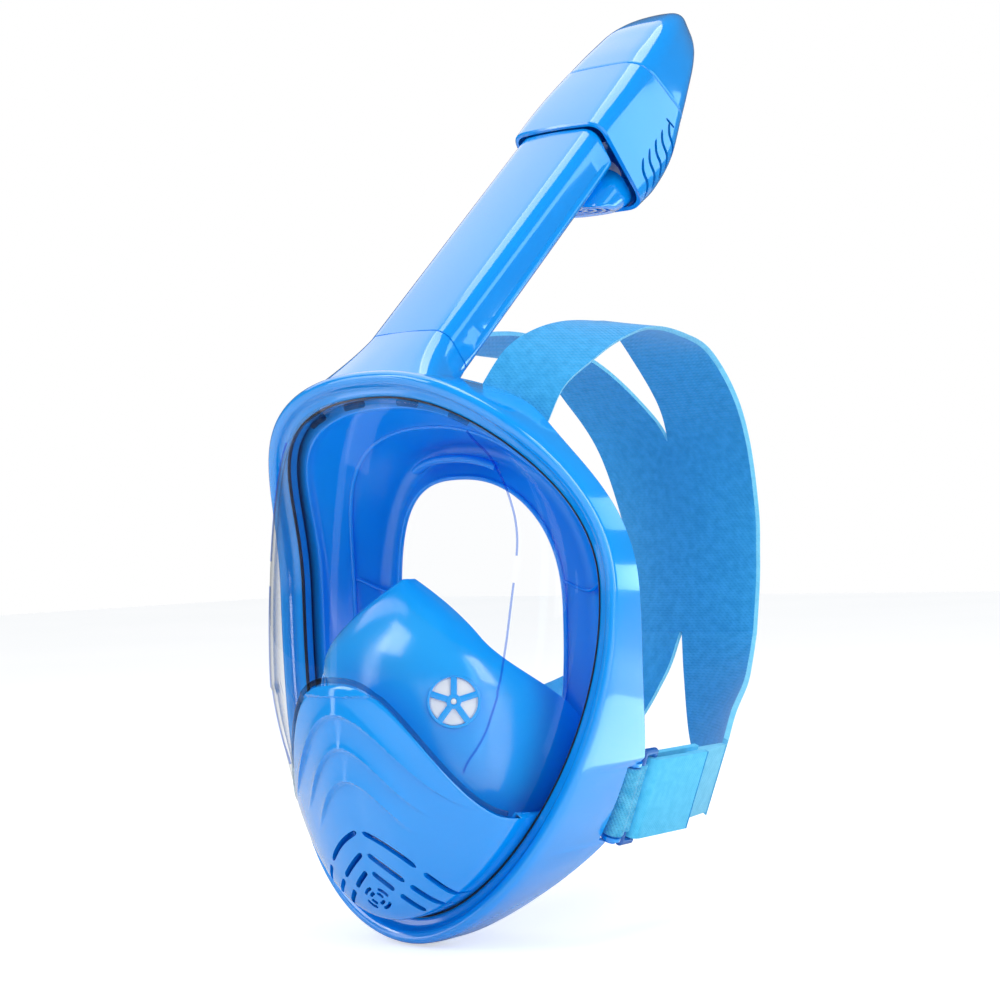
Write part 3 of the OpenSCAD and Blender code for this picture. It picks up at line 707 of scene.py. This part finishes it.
# ---------------------------------------------------------------- frame
def build_frame():
    a = np.radians(np.arange(-90, 270, 0.75))
    rings = []
    for ang in a:
        deep = float(flank(ang))
        poly = [(0.5, 7), (0.5, 1.4), (1.9, 0.7), (4.4, 0.4), (5.4, -1.0), (6.4, -3.2),
                (9.6, -4.4), (11.6, -2.4), (12.0, 2.0), (11.9, deep), (9.4, deep), (9.2, 7)]
        radii = [0.3, 0.5, 0.5, 0.8, 0.8, 2.2, 2.6, 2.0, 3.0, 0.8, 0.5, 0.4]
        rings.append([ring_pt(ang, u, v) for u, v in fillet(poly, radii, 4)])
    ob = skin("frame_bead", rings, angle=40)
    finish_piece(ob, "mask", SHELL, "gloss_shell", "front_frame")


# ---------------------------------------------------------------- skirt and cup
def seal_pt(a, d):
    c, s = math.cos(a), math.sin(a)
    y = c * c * 16 - 8 - (10 * s * s if s < 0 else 0)
    return np.array([(68 - d) * spw(c, 0.85), y, 6 + ((93 if s > 0 else 98) - d) * spw(s, 0.85)])


def lip_pt(a, back):
    c, s = math.cos(a), math.sin(a)
    y = back - 15 + 12.5 * c * c + (8 * s * s if s < 0 else 0)
    return np.array([48 * spw(c, 0.83), y, 20 + (62 if s > 0 else 104) * spw(s, 0.83)])


def build_skirt():
    rings = []
    up, down = np.array([0, 5.0, 0]), np.array([0, -3.0, 0])
    for ang in np.radians(np.arange(-90, 270, 1.5)):
        o, i = ring_pt(ang, -2, 16), ring_pt(ang, -4.2, 14)
        s, q = seal_pt(ang, 0), seal_pt(ang, 2.4)
        poly = [ring_pt(ang, 8.6, 11.6), ring_pt(ang, -2, 11.6), o, o * 0.5 + s * 0.5, s,
                s * 0.65 + lip_pt(ang, 2) * 0.35 + up, lip_pt(ang, 2), lip_pt(ang, 0.2),
                q * 0.6 + lip_pt(ang, 0) * 0.4 + up * 0.4, q + down, i * 0.45 + q * 0.55,
                i * 0.6 + q * 0.4 + np.array([0, -1.0, 0]), i, ring_pt(ang, -4.2, 9.6),
                ring_pt(ang, 8.6, 9.6)]
        radii = [0.5, 2, 6, 20, 8, 20, 1, 1, 12, 6, 2.0, 2.0, 3, 1, 0.5]
        rings.append(fillet(poly, radii, 4))
    ob = skin("face_seal", rings, angle=60)
    finish_piece(ob, "mask", SKIN, "silicone", "face_skirt")


def cup_half(z):
    """Half width of the cup at height z."""
    up = 56 * (1 - (np.maximum(0, z - CUP_LOW) / 68) ** 2.2)
    down = 56 * np.maximum(0, 1 - (np.maximum(0, CUP_LOW - z) / 70) ** 2.2) ** (1 / 1.8)
    return np.where(z > CUP_LOW, up, down) + 1.2


def cup_front(z):
    return -80 + 24 * (np.maximum(0, z + 10) / 47) ** 2.6 + 26 * (np.maximum(0, -40 - z) / 60) ** 2


def cup_rear(z):
    t = np.clip((12 - z) / 42, 0, 1)
    return -50 + 45 * t * t * (3 - 2 * t) - 12 * (np.maximum(0, -60 - z) / 39) ** 1.5


def build_cup():
    zs = np.concatenate([np.linspace(-99, 30, 84), 30 + 7.6 * np.sin(np.linspace(0.04, 1, 22)
                                                                      * math.pi / 2)])
    a = np.linspace(0, math.pi, 110)

    def row(z, t):
        w, f, r = cup_half(z) - t, cup_front(z) + t, cup_rear(z)
        x = max(float(w), 0.3) * spw(np.cos(a), 0.85)
        y = r + (f - r) * spw(np.sin(a), 0.9)
        return np.stack([x, y, np.full_like(x, z - t * 0.4)], -1)
    ob = sheet("nose_cup", [row(z, 0) for z in zs], [row(z, CUP_WALL) for z in zs], angle=60)
    bm = bmesh.new()
    for side in (1, -1):
        place_disc(bm, side, VALVE_HOLE_R, 8.0)
    cut(ob, bm, "valve_holes")
    finish_piece(ob, "mask", CUP, "silicone", "oral_nasal_mask")


def inhale_matrix(side):
    n = Vector((math.cos(INHALE_TURN), math.sin(INHALE_TURN), 0))
    u = Vector((0, 0, 1))
    v = n.cross(u)
    return Matrix.Diagonal((side, 1, 1, 1)) @ axes_matrix(v, u, n, INHALE_AT * MM)


def place_disc(bm, side, r, half):
    """Cylinder across the inhale valve's place on one side."""
    res = bmesh.ops.create_cone(bm, cap_ends=True, segments=72, radius1=r * MM, radius2=r * MM,
                                depth=2 * half * MM)
    bmesh.ops.transform(bm, matrix=inhale_matrix(side), verts=res["verts"])


def lathe_part(bm, profile, segments=96):
    """Turns a closed (radius, height) profile, in mm, about local Z."""
    rings = []
    for k in range(segments):
        t = 2 * math.pi * k / segments
        rings.append([bm.verts.new((r * math.cos(t) * MM, r * math.sin(t) * MM, h * MM))
                      for r, h in profile])
    m = len(profile)
    for k in range(segments):
        a, b = rings[k], rings[(k + 1) % segments]
        for j in range(m):
            l = (j + 1) % m
            bm.faces.new((a[j], a[l], b[l], b[j]))


def rounded_bar(bm, x0, x1, w, z0, z1, turn):
    """A spoke: rounded bar from x0 to x1, turned about Z."""
    c, s = math.cos(turn), math.sin(turn)
    prof = fillet([(-w / 2, z0), (w / 2, z0), (w / 2, z1), (-w / 2, z1)], [0, 0, 0.4, 0.4], 3)
    rings = [[bm.verts.new(((x * c - y * s) * MM, (x * s + y * c) * MM, z * MM))
              for y, z in prof] for x in np.linspace(x0, x1, 4)]
    bridge(bm, rings)


def from_bm(name, bm):
    ob = bm_object(name, bm)
    shade(ob.data, 35)
    return ob


def build_inhale(side, tag):
    bm = bmesh.new()
    ring = fillet([(10.2, -2.4), (11.6, -2.4), (11.6, 0.5), (11.2, 0.8), (10.5, 0.8), (10.2, 0.5)],
                  [0.2, 0.3, 0.3, 0.3, 0.3, 0.2], 3)
    lathe_part(bm, ring)
    lathe_part(bm, fillet([(1.3, -0.3), (3.2, -0.3), (3.2, 0.7), (1.3, 0.7)],
                          [0, 0, 0.4, 0.2], 3), 48)
    for k in range(5):
        rounded_bar(bm, 2.8, 10.6, 2.7, -0.3, 0.6, math.radians(72 * k + 20))
    seat = from_bm("inhale_wheel_" + tag, bm)
    seat.matrix_world = inhale_matrix(side)
    finish_piece(seat, "mask", CUP, "gloss_shell", "inhale_seat_" + tag)
    bm = bmesh.new()
    lathe_part(bm, fillet([(0.05, -1.2), (10.1, -1.2), (10.1, -0.6), (9.6, -0.4), (1.2, -0.4),
                           (1.2, 0.9), (0.05, 1.1)], [0, 0.2, 0.2, 0.2, 0.2, 0.4, 0], 3))
    flap = from_bm("inhale_disc_" + tag, bm)
    flap.matrix_world = inhale_matrix(side)
    finish_piece(flap, "inhale_" + tag, FLAP, "valve_silicone", "inhale_flap_" + tag)


# ---------------------------------------------------------------- snorkel
def rounded_section(hx, hq, rf, rb):
    """Tube section: crowned front, rounded corners; local (x, depth) points."""
    poly = [(-hx, -hq + CROWN), (0, -hq), (hx, -hq + CROWN), (hx, hq), (0, hq), (-hx, hq)]
    return fillet(poly, [rf, 14, rf, rb, 0, rb], 10)


def tube_rings(spec):
    """spec rows: run at the front, run at the back, half width, front depth, back depth,
    front corner radius, back corner radius."""
    out = []
    for sf, sb, hx, qf, qb, rf, rb in spec:
        sec = rounded_section(hx, (qb - qf) / 2, rf, rb)
        q = sec[:, 1] + (qf + qb) / 2
        if hx == HX and 3 < sf < TUBE_LEN - 2:
            f = smooth((sf - 4) / 14) * smooth((TUBE_LEN + 4 - sf) / 14)
            band = smooth((q - qf - 9.5) / 1.6) * smooth((qb - 4.2 - q) / 1.6)
            sec = sec - np.stack([np.sign(sec[:, 0]) * 1.5 * f * band, 0 * q], -1)
        t = (q - qf) / max(qb - qf, 1e-6)
        out.append(tube_space(np.stack([sec[:, 0], q, sf + (sb - sf) * t], -1)))
    return out


def grow(row, t):
    sf, sb, hx, qf, qb, rf, rb = row
    return (sf, sb, hx - t, qf + t, qb - t, max(rf - t, 0.6), max(rb - t, 0.6))


def smooth_rows(keys, n):
    """Catmull-Rom through key rows, n steps each."""
    k = np.array(keys, float)
    p = np.vstack([2 * k[0] - k[1], k, 2 * k[-1] - k[-2]])
    out = []
    for i in range(1, len(p) - 2):
        for t in np.linspace(0, 1, n, endpoint=False):
            out.append(catmull(p[i - 1], p[i], p[i + 1], p[i + 2], t))
    out.append(p[-2])
    return [tuple(r) for r in out]


def crest(x):
    """Height of the top of the frame's bead at x."""
    e = np.maximum(0, 1 - (np.abs(x) / LENS_W) ** N_TOP) ** (1 / N_TOP)
    return RING_Z + LENS_TOP * e + BEAD + np.abs(x) / 50


def build_neck():
    c, s = math.cos(TUBE_LEAN), math.sin(TUBE_LEAN)
    top = rounded_section(HX, TUBE_D / 2, 8, 6)
    cx, cy = top[:, 0] / HX, top[:, 1] / (TUBE_D / 2)
    outer, inner = [], []
    for k in np.linspace(0, 1, 34):
        for t, out in ((0.0, outer), (2.3, inner)):
            d = TUBE_D / 2 + (TUBE_D / 2 - t) * cy
            hi = np.stack([(HX - t) * cx, SEAM[1] + c * d, SEAM[2] - s * d], -1)
            x = (35 - t) * cx * (0.86 - 0.14 * cy)
            y = -61.2 + (16.3 - t) * cy
            f = np.clip((y + 61 - 7.5 * (x / 26) ** 4) / 12, 0, 1)
            low = np.stack([x, y, crest(x) - 1.2 - 9.3 * f * f * (3 - 2 * f)], -1)
            e = np.array([k ** 1.6, k, k])
            out.append(hi * (1 - e) + low * e)
    ob = skin("neck_shell", outer + inner[::-1], angle=40)
    finish_piece(ob, "mask", SHELL, "gloss_shell", "snorkel_neck")


def build_tube():
    q0, q1 = 0.0, TUBE_D
    spigot = (HX - 3.6, q0 + 3.6, q1 - 3.6, 6, 5)
    rows = [(-11, -11, *spigot), (0.35, 0.35, *spigot),
            (0.35, 0.35, HX - 0.5, q0 + 0.5, q1 - 0.5, 8, 6), (0.8, 0.8, HX, q0, q1, 8, 6)]
    rows += [(t, t, HX, q0, q1, 8, 6) for t in np.linspace(4, TUBE_LEN, 24)]
    rows += [(TUBE_LEN, TUBE_LEN, HX - 2, q0 + 2, q1 - 2, 6, 4), (8, 8, HX - 2, q0 + 2, q1 - 2, 6, 4),
             (2, 2, HX - 5.2, q0 + 5.2, q1 - 5.2, 4, 3), (-11, -11, HX - 5.2, q0 + 5.2, q1 - 5.2, 4, 3)]
    ob = skin("tube_shell", tube_rings(rows), angle=40)
    finish_piece(ob, "snorkel", SHELL, "gloss_shell", "snorkel_tube")


HEAD_KEYS = [(155.6, 159.5, 27.0, -2.6, 52.0, 9, 12), (172, 178, 27.0, -3.0, 54.5, 9.5, 13),
             (190, 200, 26.4, -3.0, 52.5, 10, 14), (207.7, 222.2, 25.4, -2.6, 44.5, 11, 14)]
CAP_KEYS = [(208.2, 222.7, 25.3, -2.6, 44.4, 11, 14), (222, 232, 24.2, -2.2, 41.5, 12, 14),
            (236, 242, 22.6, -1.2, 38.5, 12, 14), (248, 251, 20.6, -0.2, 36.4, 12, 13),
            (258, 259, 18.2, 2.0, 34.8, 11, 12), (267, 267, 15.2, 5.0, 33.0, 10, 11),
            (274.5, 273.5, 12.0, 8.6, 30.8, 8.5, 9), (280, 279, 8.4, 12.6, 28.4, 6, 6),
            (283, 282.6, 4.6, 16.2, 25.6, 3.5, 3.5), (284.2, 284, 1.2, 19.6, 22.4, 1, 1)]


def build_head():
    outer = smooth_rows(HEAD_KEYS, 10)
    lip = grow(outer[0], 0.8)
    rows = [lip] + [(r[0] + (0.8 if i == 0 else 0), *r[1:]) for i, r in enumerate(outer)]
    inner = [grow(r, HEAD_WALL) for r in outer][::-1]
    ob = skin("head_shell", tube_rings(rows + inner), angle=40)
    bm = bmesh.new()
    for side in (1, -1):
        for k in range(5):
            s0 = 160 + 8.2 * k
            t = np.linspace(0, 1, 22)
            q = 50.5 - 20.0 * t + (1.2 if k > 3 else 0)
            s = s0 + 17 * t + 2.6 * np.sin(t * 2 * math.pi)
            side_cutter(bm, side, q[2:-2], s[2:-2], 2.3)
        side_cutter(bm, side, np.linspace(38.5, 30.5, 8), np.linspace(214.5, 211.5, 8) - 6, 1.4)
    cut(ob, bm, "side_vents")
    finish_piece(ob, "snorkel", SHELL, "gloss_shell", "head_housing")
    cap = smooth_rows(CAP_KEYS, 6)
    first = cap[0]
    rows = [grow(first, 2.2), grow(first, 0.3), (first[0] + 0.4, first[1] + 0.4, *first[2:])] + cap[1:]
    inner = [grow(r, 2.2) for r in cap if r[2] > 6][::-1]
    ob = skin("cap_shell", tube_rings(inner + rows), loop=False, caps=True, angle=50)
    finish_piece(ob, "snorkel", SHELL, "gloss_shell", "head_cap")


def side_cutter(bm, side, q, s, thick):
    dq, ds = np.gradient(q), np.gradient(s)
    g = np.hypot(dq, ds)
    nq, ns = -ds / g, dq / g
    rings = []
    n = len(q)
    for k in range(n):
        h = thick / 2 * math.sqrt(max(0.03, 1 - ((k - (n - 1) / 2) / ((n - 1) / 2)) ** 6))
        ring = []
        for a, x in ((1, 19.0), (1, 34.0), (-1, 34.0), (-1, 19.0)):
            p = tube_space((side * x, q[k] + a * h * nq[k], s[k] + a * h * ns[k]))
            ring.append(bm.verts.new(Vector(p * MM)))
        rings.append(ring)
    bridge(bm, rings)


def build_chamber():
    """Rounded lower end of the float chamber with a level bottom and curved vents."""
    rings = []
    m = 96
    base = oval(18.5, 17.0, 2.6, m)
    foot = np.stack([base[:, 0], base[:, 1] + 84.0, np.full(m, 211.3)], -1)
    top_sec = oval(20.5, 12.6, 3.0, m)
    top = tube_space(np.stack([top_sec[:, 0], top_sec[:, 1] + 39.2, np.full(m, 161.0)], -1))
    for k in np.linspace(0, 1, 16):
        rings.append(foot * (1 - k) + top * k)
    mid = foot.mean(0)
    rim = ((0.80, 0.0), (0.93, -0.6), (0.985, 0.0))
    edge = [mid + (foot - mid) * f + np.array([0, 0, h]) for f, h in rim]
    inside = [mid + (r - r.mean(0)) * 0.88 + (r.mean(0) - mid) for r in rings]
    floor = [mid + (foot - mid) * 0.8 + np.array([0, 0, 2.0])]
    ob = skin("chamber_foot", edge + rings[1:] + inside[::-1][:-1] + floor, angle=35)
    finish_piece(ob, "snorkel", SHELL, "gloss_shell", "chamber_grille")
    bm = bmesh.new()
    for r in (3.0, 7.4, 11.8):
        prof = [(r, -1.0), (r + 1.9, -1.0), (r + 1.9, 1.0), (r, 1.0)]
        lathe_part(bm, fillet(prof, [0.3] * 4, 2), 72)
    for k in range(4):
        rounded_bar(bm, 2.0, 15.6, 1.6, -0.9, 0.9, math.radians(90 * k + 45))
    grille = from_bm("chamber_grate", bm)
    grille.matrix_world = Matrix.Translation((0, 0.084, 0.2123))
    finish_piece(grille, "snorkel", SHELL, "gloss_shell")


# ---------------------------------------------------------------- straps
def spline(points, n):
    """n points along a Catmull-Rom curve, evenly spaced by chord length."""
    p = np.array(points, float)
    q = np.vstack([2 * p[0] - p[1], p, 2 * p[-1] - p[-2]])
    d = np.maximum(np.linalg.norm(np.diff(p, axis=0), axis=-1), 1e-6)
    u = np.concatenate([[0], np.cumsum(d)])
    t = np.linspace(0, u[-1], n)
    out = []
    for x in t:
        i = min(int(np.searchsorted(u, x, side="right")) - 1, len(p) - 2)
        out.append(catmull(q[i], q[i + 1], q[i + 2], q[i + 3], (x - u[i]) / d[i]))
    return np.array(out)


STRAP_ROWS = [((60.5, -38, 96), (38.4, -49.5, 114)), ((63.1, -32.4, 102), (39, -46.5, 119)),
              ((65.7, -21.9, 118.8), (41.3, -32, 135.5)), ((68.5, -3.7, 131), (42, -13, 145)),
              ((69, 17.5, 141.1), (41.3, 11, 150.6)), ((68.5, 43.9, 147.9), (36.6, 43, 153)),
              ((63, 78.6, 146.8), (26, 73, 153.5)), ((54, 114.8, 141.1), (12.7, 109.3, 141.7)),
              ((50.8, 141.2, 121.3), (5, 143.2, 118.7)), ((46.2, 160.5, 97), (0, 158.8, 98)),
              ((42.2, 173.1, 63.5), (0, 165, 66)), ((40.5, 175.6, 42.8), (0, 167, 43)),
              ((39.3, 176.2, 26), (0, 167, 26)), ((41, 169, 1), (0, 164, 2))]
ARM_ROWS = [((40.95, 169.25, 1.9), (0.6, 164.1, 1.9)), ((48, 153, -11), (6.5, 156, -21)),
            ((58, 131.6, -21), (20, 139, -50)), ((72, 98, -31.5), (44, 112, -68)),
            ((77.7, 81.2, -43.1), (64, 81.2, -78.6))]
LOOP_MID = np.array([0, 55.0, 50.0])


def strap_in(p, t):
    e = (p - LOOP_MID) * np.array([1, 1, 0.5])
    return p - e * (t / np.linalg.norm(e, axis=-1, keepdims=True))


def band_grid(rows, n, m):
    """Rows across a band; the back panel is curved across its width."""
    side = spline([r[0] for r in rows], n)
    inner = spline([r[1] for r in rows], n)
    k = np.linspace(0, 1, m)[None, :]
    grid = side[:, None] * (1 - k[..., None]) + inner[:, None] * k[..., None]
    f = np.clip(1 - inner[:, 0] / 10, 0, 1)[:, None]
    grid[..., 1] += f * (side[:, 1] - inner[:, 1])[:, None] * ((1 - k) ** 2 - (1 - k))
    return grid


def light_edges(ob):
    """Gives the narrow faces along the cut edges the paler woven edge."""
    ob.data.materials.append(STRAP_EDGE)
    for p in ob.data.polygons:
        vs = [ob.data.vertices[i].co for i in p.vertices]
        longest = max((vs[i] - vs[(i + 1) % len(vs)]).length for i in range(len(vs)))
        out = p.center / MM - Vector(LOOP_MID)
        out.z *= 0.5
        end = -2.5 < p.center.z / MM < 3.5 and abs(p.normal.z) > 0.8
        if abs(p.normal.dot(out.normalized())) < 0.45 and longest < 0.02 and not end:
            p.material_index = 1


def build_strap():
    n, m = 190, 22
    grid = band_grid(STRAP_ROWS, n, m)
    grid[..., 0] = np.maximum(grid[..., 0], 0)
    flip = grid * np.array([-1, 1, 1])
    full = np.concatenate([flip, grid[:, ::-1]], 1)
    gone = np.zeros((n - 1, 2 * m - 1), bool)
    gone[:, m - 1] = full[1:, m, 0] > 0.25
    ob = sheet("head_band", full, strap_in(full, BAND_THICK), gone, angle=50)
    finish_piece(ob, "mask", STRAP, "elastic_band", "head_strap")
    light_edges(ob)


def build_arms():
    for side, tag in SIDES:
        grid = band_grid(ARM_ROWS, 80, 22)
        f = np.array([side, 1, 1])
        ob = sheet("neck_arm_" + tag, grid * f, strap_in(grid, BAND_THICK) * f, angle=50)
        dress(ob.data, STRAP)
        light_edges(ob)
        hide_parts("lower_strap_" + tag)
        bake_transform(ob)


def tube_along(name, pts, r, loop=False, angle=60, flat=1.0, sides=12):
    """Round bead of radius r mm along points given in mm."""
    pts = np.asarray(pts, float)
    n = len(pts)
    tan = np.gradient(pts, axis=0) if not loop else np.roll(pts, -1, 0) - np.roll(pts, 1, 0)
    tan /= np.linalg.norm(tan, axis=1, keepdims=True)
    ref = np.array([0.0, -1.0, 0.0])
    a = np.cross(tan, ref)
    a /= np.maximum(np.linalg.norm(a, axis=1, keepdims=True), 1e-6)
    b = np.cross(tan, a)
    t = np.linspace(0, 2 * np.pi, sides, endpoint=False)
    rings = [pts[k] + r * (np.cos(t)[:, None] * a[k] + flat * np.sin(t)[:, None] * b[k])
             for k in range(n)]
    return skin(name, rings, loop=loop, caps=not loop, angle=angle)


def build_skirt_trim():
    """Beads, seams and the brow bar of the skirt."""
    ang = np.radians(np.arange(-90, 270, 1.5))
    lip = np.array([lip_pt(t, 0.4) + np.array([0, -0.3, 0]) for t in ang])
    ob = tube_along("skirt_lip_bead", lip, 1.1, loop=True)
    finish_piece(ob, "mask", SKIN, "silicone")
    rim = np.array([ring_pt(t, -4.2, 14) * 0.52 + seal_pt(t, 2.4) * 0.48 + np.array([0, -1.0, 0])
                    for t in ang])
    ob = tube_along("skirt_rim_bead", rim, 1.1, loop=True)
    finish_piece(ob, "mask", SKIN, "silicone")
    for side, tag in SIDES:
        t0 = math.radians(10)
        a, b = seal_pt(t0, 2.4) * 0.6 + lip_pt(t0, 0) * 0.4, lip_pt(t0, 0)
        c = ring_pt(t0, -4.2, 14) * 0.5 + seal_pt(t0, 2.4) * 0.5
        f = np.array([side, 1, 1])
        ob = tube_along("skirt_seam_" + tag, spline([c * f, a * f, b * f], 14), 0.8, flat=1.2)
        finish_piece(ob, "mask", SKIN, "silicone")
    k = np.linspace(-1, 1, 30)
    top = [lip_pt(math.pi / 2 - 0.42 * v, 0) + np.array([0, -3.5 - 2 * (1 - v * v), 8.5]) for v in k]
    ob = tube_along("skirt_brow_bar", top, 2.0, flat=1.6)
    finish_piece(ob, "mask", SKIN, "silicone")


def build_lens_trim():
    """The clear rim above the chin cover, the lens creases and the clips at the top; the rim and clips
    carry a grey tint as painted shade, the creases a blue tint as a painted reflection streak.
    """
    x = (BELL_HALF - 2.5) * ease(120)
    z = bell(x) + 1.9
    edge = np.stack([x, dome_y(x, z) - 0.25, z], -1)
    # lower rim tinted grey: a painted shade line along the lens's lower edge
    ob = tube_along("lens_lower_rim", edge, 1.25, flat=0.5)
    finish_piece(ob, "mask", RIM_SHADE, "clear_lens")
    z = np.linspace(-42.5, 99.5, 90)
    half = np.interp(z, FOLD[:, 0], FOLD[:, 1])
    half = np.convolve(np.pad(half, 4, mode="edge"), np.ones(9) / 9, mode="valid")
    # real thin ridge along each fold, tinted blue as a painted reflection streak
    for side, tag in SIDES:
        line = np.stack([side * half, dome_y(half, z, 0, 0.45), z], -1)
        for part, lo, hi in (("low", 0, 50), ("high", 56, 90)):
            ob = tube_along("lens_crease_%s_%s" % (part, tag), line[lo:hi], 0.55, flat=0.6)
            finish_piece(ob, "mask", CREASE_STREAK, "clear_lens")
    for n, deg in enumerate((62, 80, 97, 113)):
        arc = np.radians(np.linspace(deg - 3.2, deg + 3.2, 12))
        pts = [ring_pt(t, -1.6, 5.0) for t in arc]
        # clips tinted grey so they show as dark lines: painted shade
        ob = tube_along("lens_clip_%d" % (n + 1), pts, 1.6, flat=0.8)
        finish_piece(ob, "mask", RIM_SHADE, "clear_lens")


def build_upper_bars():
    """The strap's bar with two short feet that stand on the frame's shoulder."""
    at, dip, turn = np.array([51.3, -43.3, 109.2]), math.radians(120), math.radians(21.5)
    bar = np.array([math.sin(dip) * math.cos(turn), math.sin(dip) * math.sin(turn), math.cos(dip)])
    spots = [(t, v) for t in np.radians(np.arange(20, 80, 1.0)) for v in (5.0, 8.0, 11.0)]
    for side, tag in SIDES:
        f = np.array([side, 1, 1])
        ends = [at - bar * 19, at + bar * 19]
        feet = [min((ring_pt(t, 8.0, v) for t, v in spots), key=lambda p: np.linalg.norm(p - e))
                for e in ends]
        path = spline([feet[0], ends[0] * 0.9 + at * 0.1, at, ends[1] * 0.9 + at * 0.1, feet[1]], 60)
        ob = tube_along("strap_bar_" + tag, path * f, 1.9, sides=20)
        finish_piece(ob, "mask", SHELL, "gloss_shell", "upper_bar_" + tag)


def build_gap_shade():
    """Thin dark ring between the lens flange and the frame's lip: painted shade of the gap between them.
    """
    rings = []
    for ang in np.radians(np.arange(-90, 270, 1.0)):
        poly = [(0.05, 1.0), (0.05, 2.4), (0.75, 2.4), (0.75, 0.9), (0.5, 0.6)]
        rings.append([ring_pt(ang, u, v) for u, v in poly])
    ob = skin("lens_gap_shade", rings, angle=30)
    # the dark ring is painted shade of the gap between lens flange and frame lip
    finish_piece(ob, "mask", BLACK, "seal_rubber")


def extrude_fit(name, poly, z0, z1, side, radii=None, edge=0.5, steps=4):
    """Profile in the fitting's (out, back) plane, run along the bar with soft ends."""
    p = fillet(poly, radii or [0.4] * len(poly), steps)
    mid = p.mean(0)
    rings = []
    inward = (mid - p) / np.maximum(np.linalg.norm(mid - p, axis=1, keepdims=True), 1e-6)
    for z, f in ((z0, 1.0), (z0 + edge * 0.3, 0.0), (z1 - edge * 0.3, 0.0), (z1, 1.0)):
        q = p + inward * f * edge * 0.4
        rings.append(fit_space(np.column_stack([q, np.full(len(q), z)]), side))
    return skin(name, rings, loop=False, caps=True, angle=35)


def build_fittings():
    for side, tag in SIDES:
        body = "buckle_" + tag
        # webbing rolled round the bar, with its tail
        bm = bmesh.new()
        prof = [(2.7, -WEB_HALF), (5.0, -WEB_HALF), (5.0, WEB_HALF), (2.7, WEB_HALF)]
        lathe_part(bm, fillet(prof, [0.5, 1.0, 1.0, 0.5], 4), 72)
        roll = from_bm("webbing_roll_" + tag, bm)
        c, s = math.cos(FIT_TIP), math.sin(FIT_TIP)
        at_bar = axes_matrix((c, 0, -s), (0, 1, 0), (s, 0, c), FIT_AT * MM)
        roll.matrix_world = Matrix.Diagonal((side, 1, 1, 1)) @ at_bar
        finish_piece(roll, body, WEB, "woven_tab", "webbing_loop_" + tag)
        tail = [(-2.4, 3.6), (1.8, 4.0), (1.8, 10.6), (0, 12.0), (-2.4, 10.6)]
        ob = extrude_fit("webbing_tail_" + tag, tail, 0.2 - WEB_HALF, WEB_HALF - 0.2, side)
        finish_piece(ob, body, WEB, "woven_tab")
        # band folded back over the ring, its narrower tail and a thin darker bar at the outer layer's
        # rear edge, a painted shadow line
        y = RING_Y
        fold = [(-4.4, y + 40), (-4.4, y), (-3.2, y - 3.4), (0, y - 4.5), (3.2, y - 3.4), (4.4, y),
                (4.6, y + 38), (2.2, y + 38), (1.9, y + 1), (0, y - 1.9), (-1.9, y + 1), (-1.9, y + 40)]
        rad = [0.6, 1.5, 2.0, 2.0, 2.0, 1.5, 0.8, 0.8, 1.2, 1.2, 1.2, 0.6]
        ob = extrude_fit("folded_band_" + tag, fold, -BAND_HALF, BAND_HALF, side, rad)
        finish_piece(ob, body, TAB, "woven_tab", "strap_fold_" + tag)
        tail = [(-4.3, y + 30), (-4.3, y + 64), (-2.0, y + 64), (1.0, y + 36), (1.0, y + 30)]
        ob = extrude_fit("band_tail_" + tag, tail, -TAIL_HALF, TAIL_HALF, side, [0.4, 0.6, 0.6, 4, 0.4])
        finish_piece(ob, body, TAIL, "woven_tab")
        # thin bar in the darker band colour along the outer layer's rear edge: a painted shadow line
        # where the outer layer stands off the tail
        shadow_line = [(2.3, y + 37.8), (4.75, y + 37.6), (4.75, y + 38.3), (2.3, y + 38.5)]
        ob = extrude_fit("band_shadow_line_" + tag, shadow_line, -BAND_HALF, BAND_HALF, side, [0.1] * 4, steps=2)
        finish_piece(ob, body, STRAP, "woven_tab")


def dress_nodes():
    """Materials for the CAD nodes that stay."""
    plan = {"rear_frame": SHELL, "purge_seat": SHELL, "purge_disc": FLAP, "tube_gasket": SEAL,
            "tube_latch": SHELL, "float_block": WHITE, "float_seal": SEAL, "float_seat": SHELL,
            "loop_bar_left": SHELL, "loop_bar_right": SHELL, "strap_ring_left": RING,
            "strap_ring_right": RING}
    for name, mat in plan.items():
        dress(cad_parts[name].data, mat)


build_camera()
build_floor()
build_world()
build_lights()
build_lens()
build_chin()
build_frame()
build_skirt()
build_cup()
for side, tag in SIDES:
    build_inhale(side, tag)
build_neck()
build_tube()
build_head()
build_chamber()
build_strap()
build_arms()
build_gap_shade()
build_skirt_trim()
build_lens_trim()
build_upper_bars()
build_fittings()
dress_nodes()
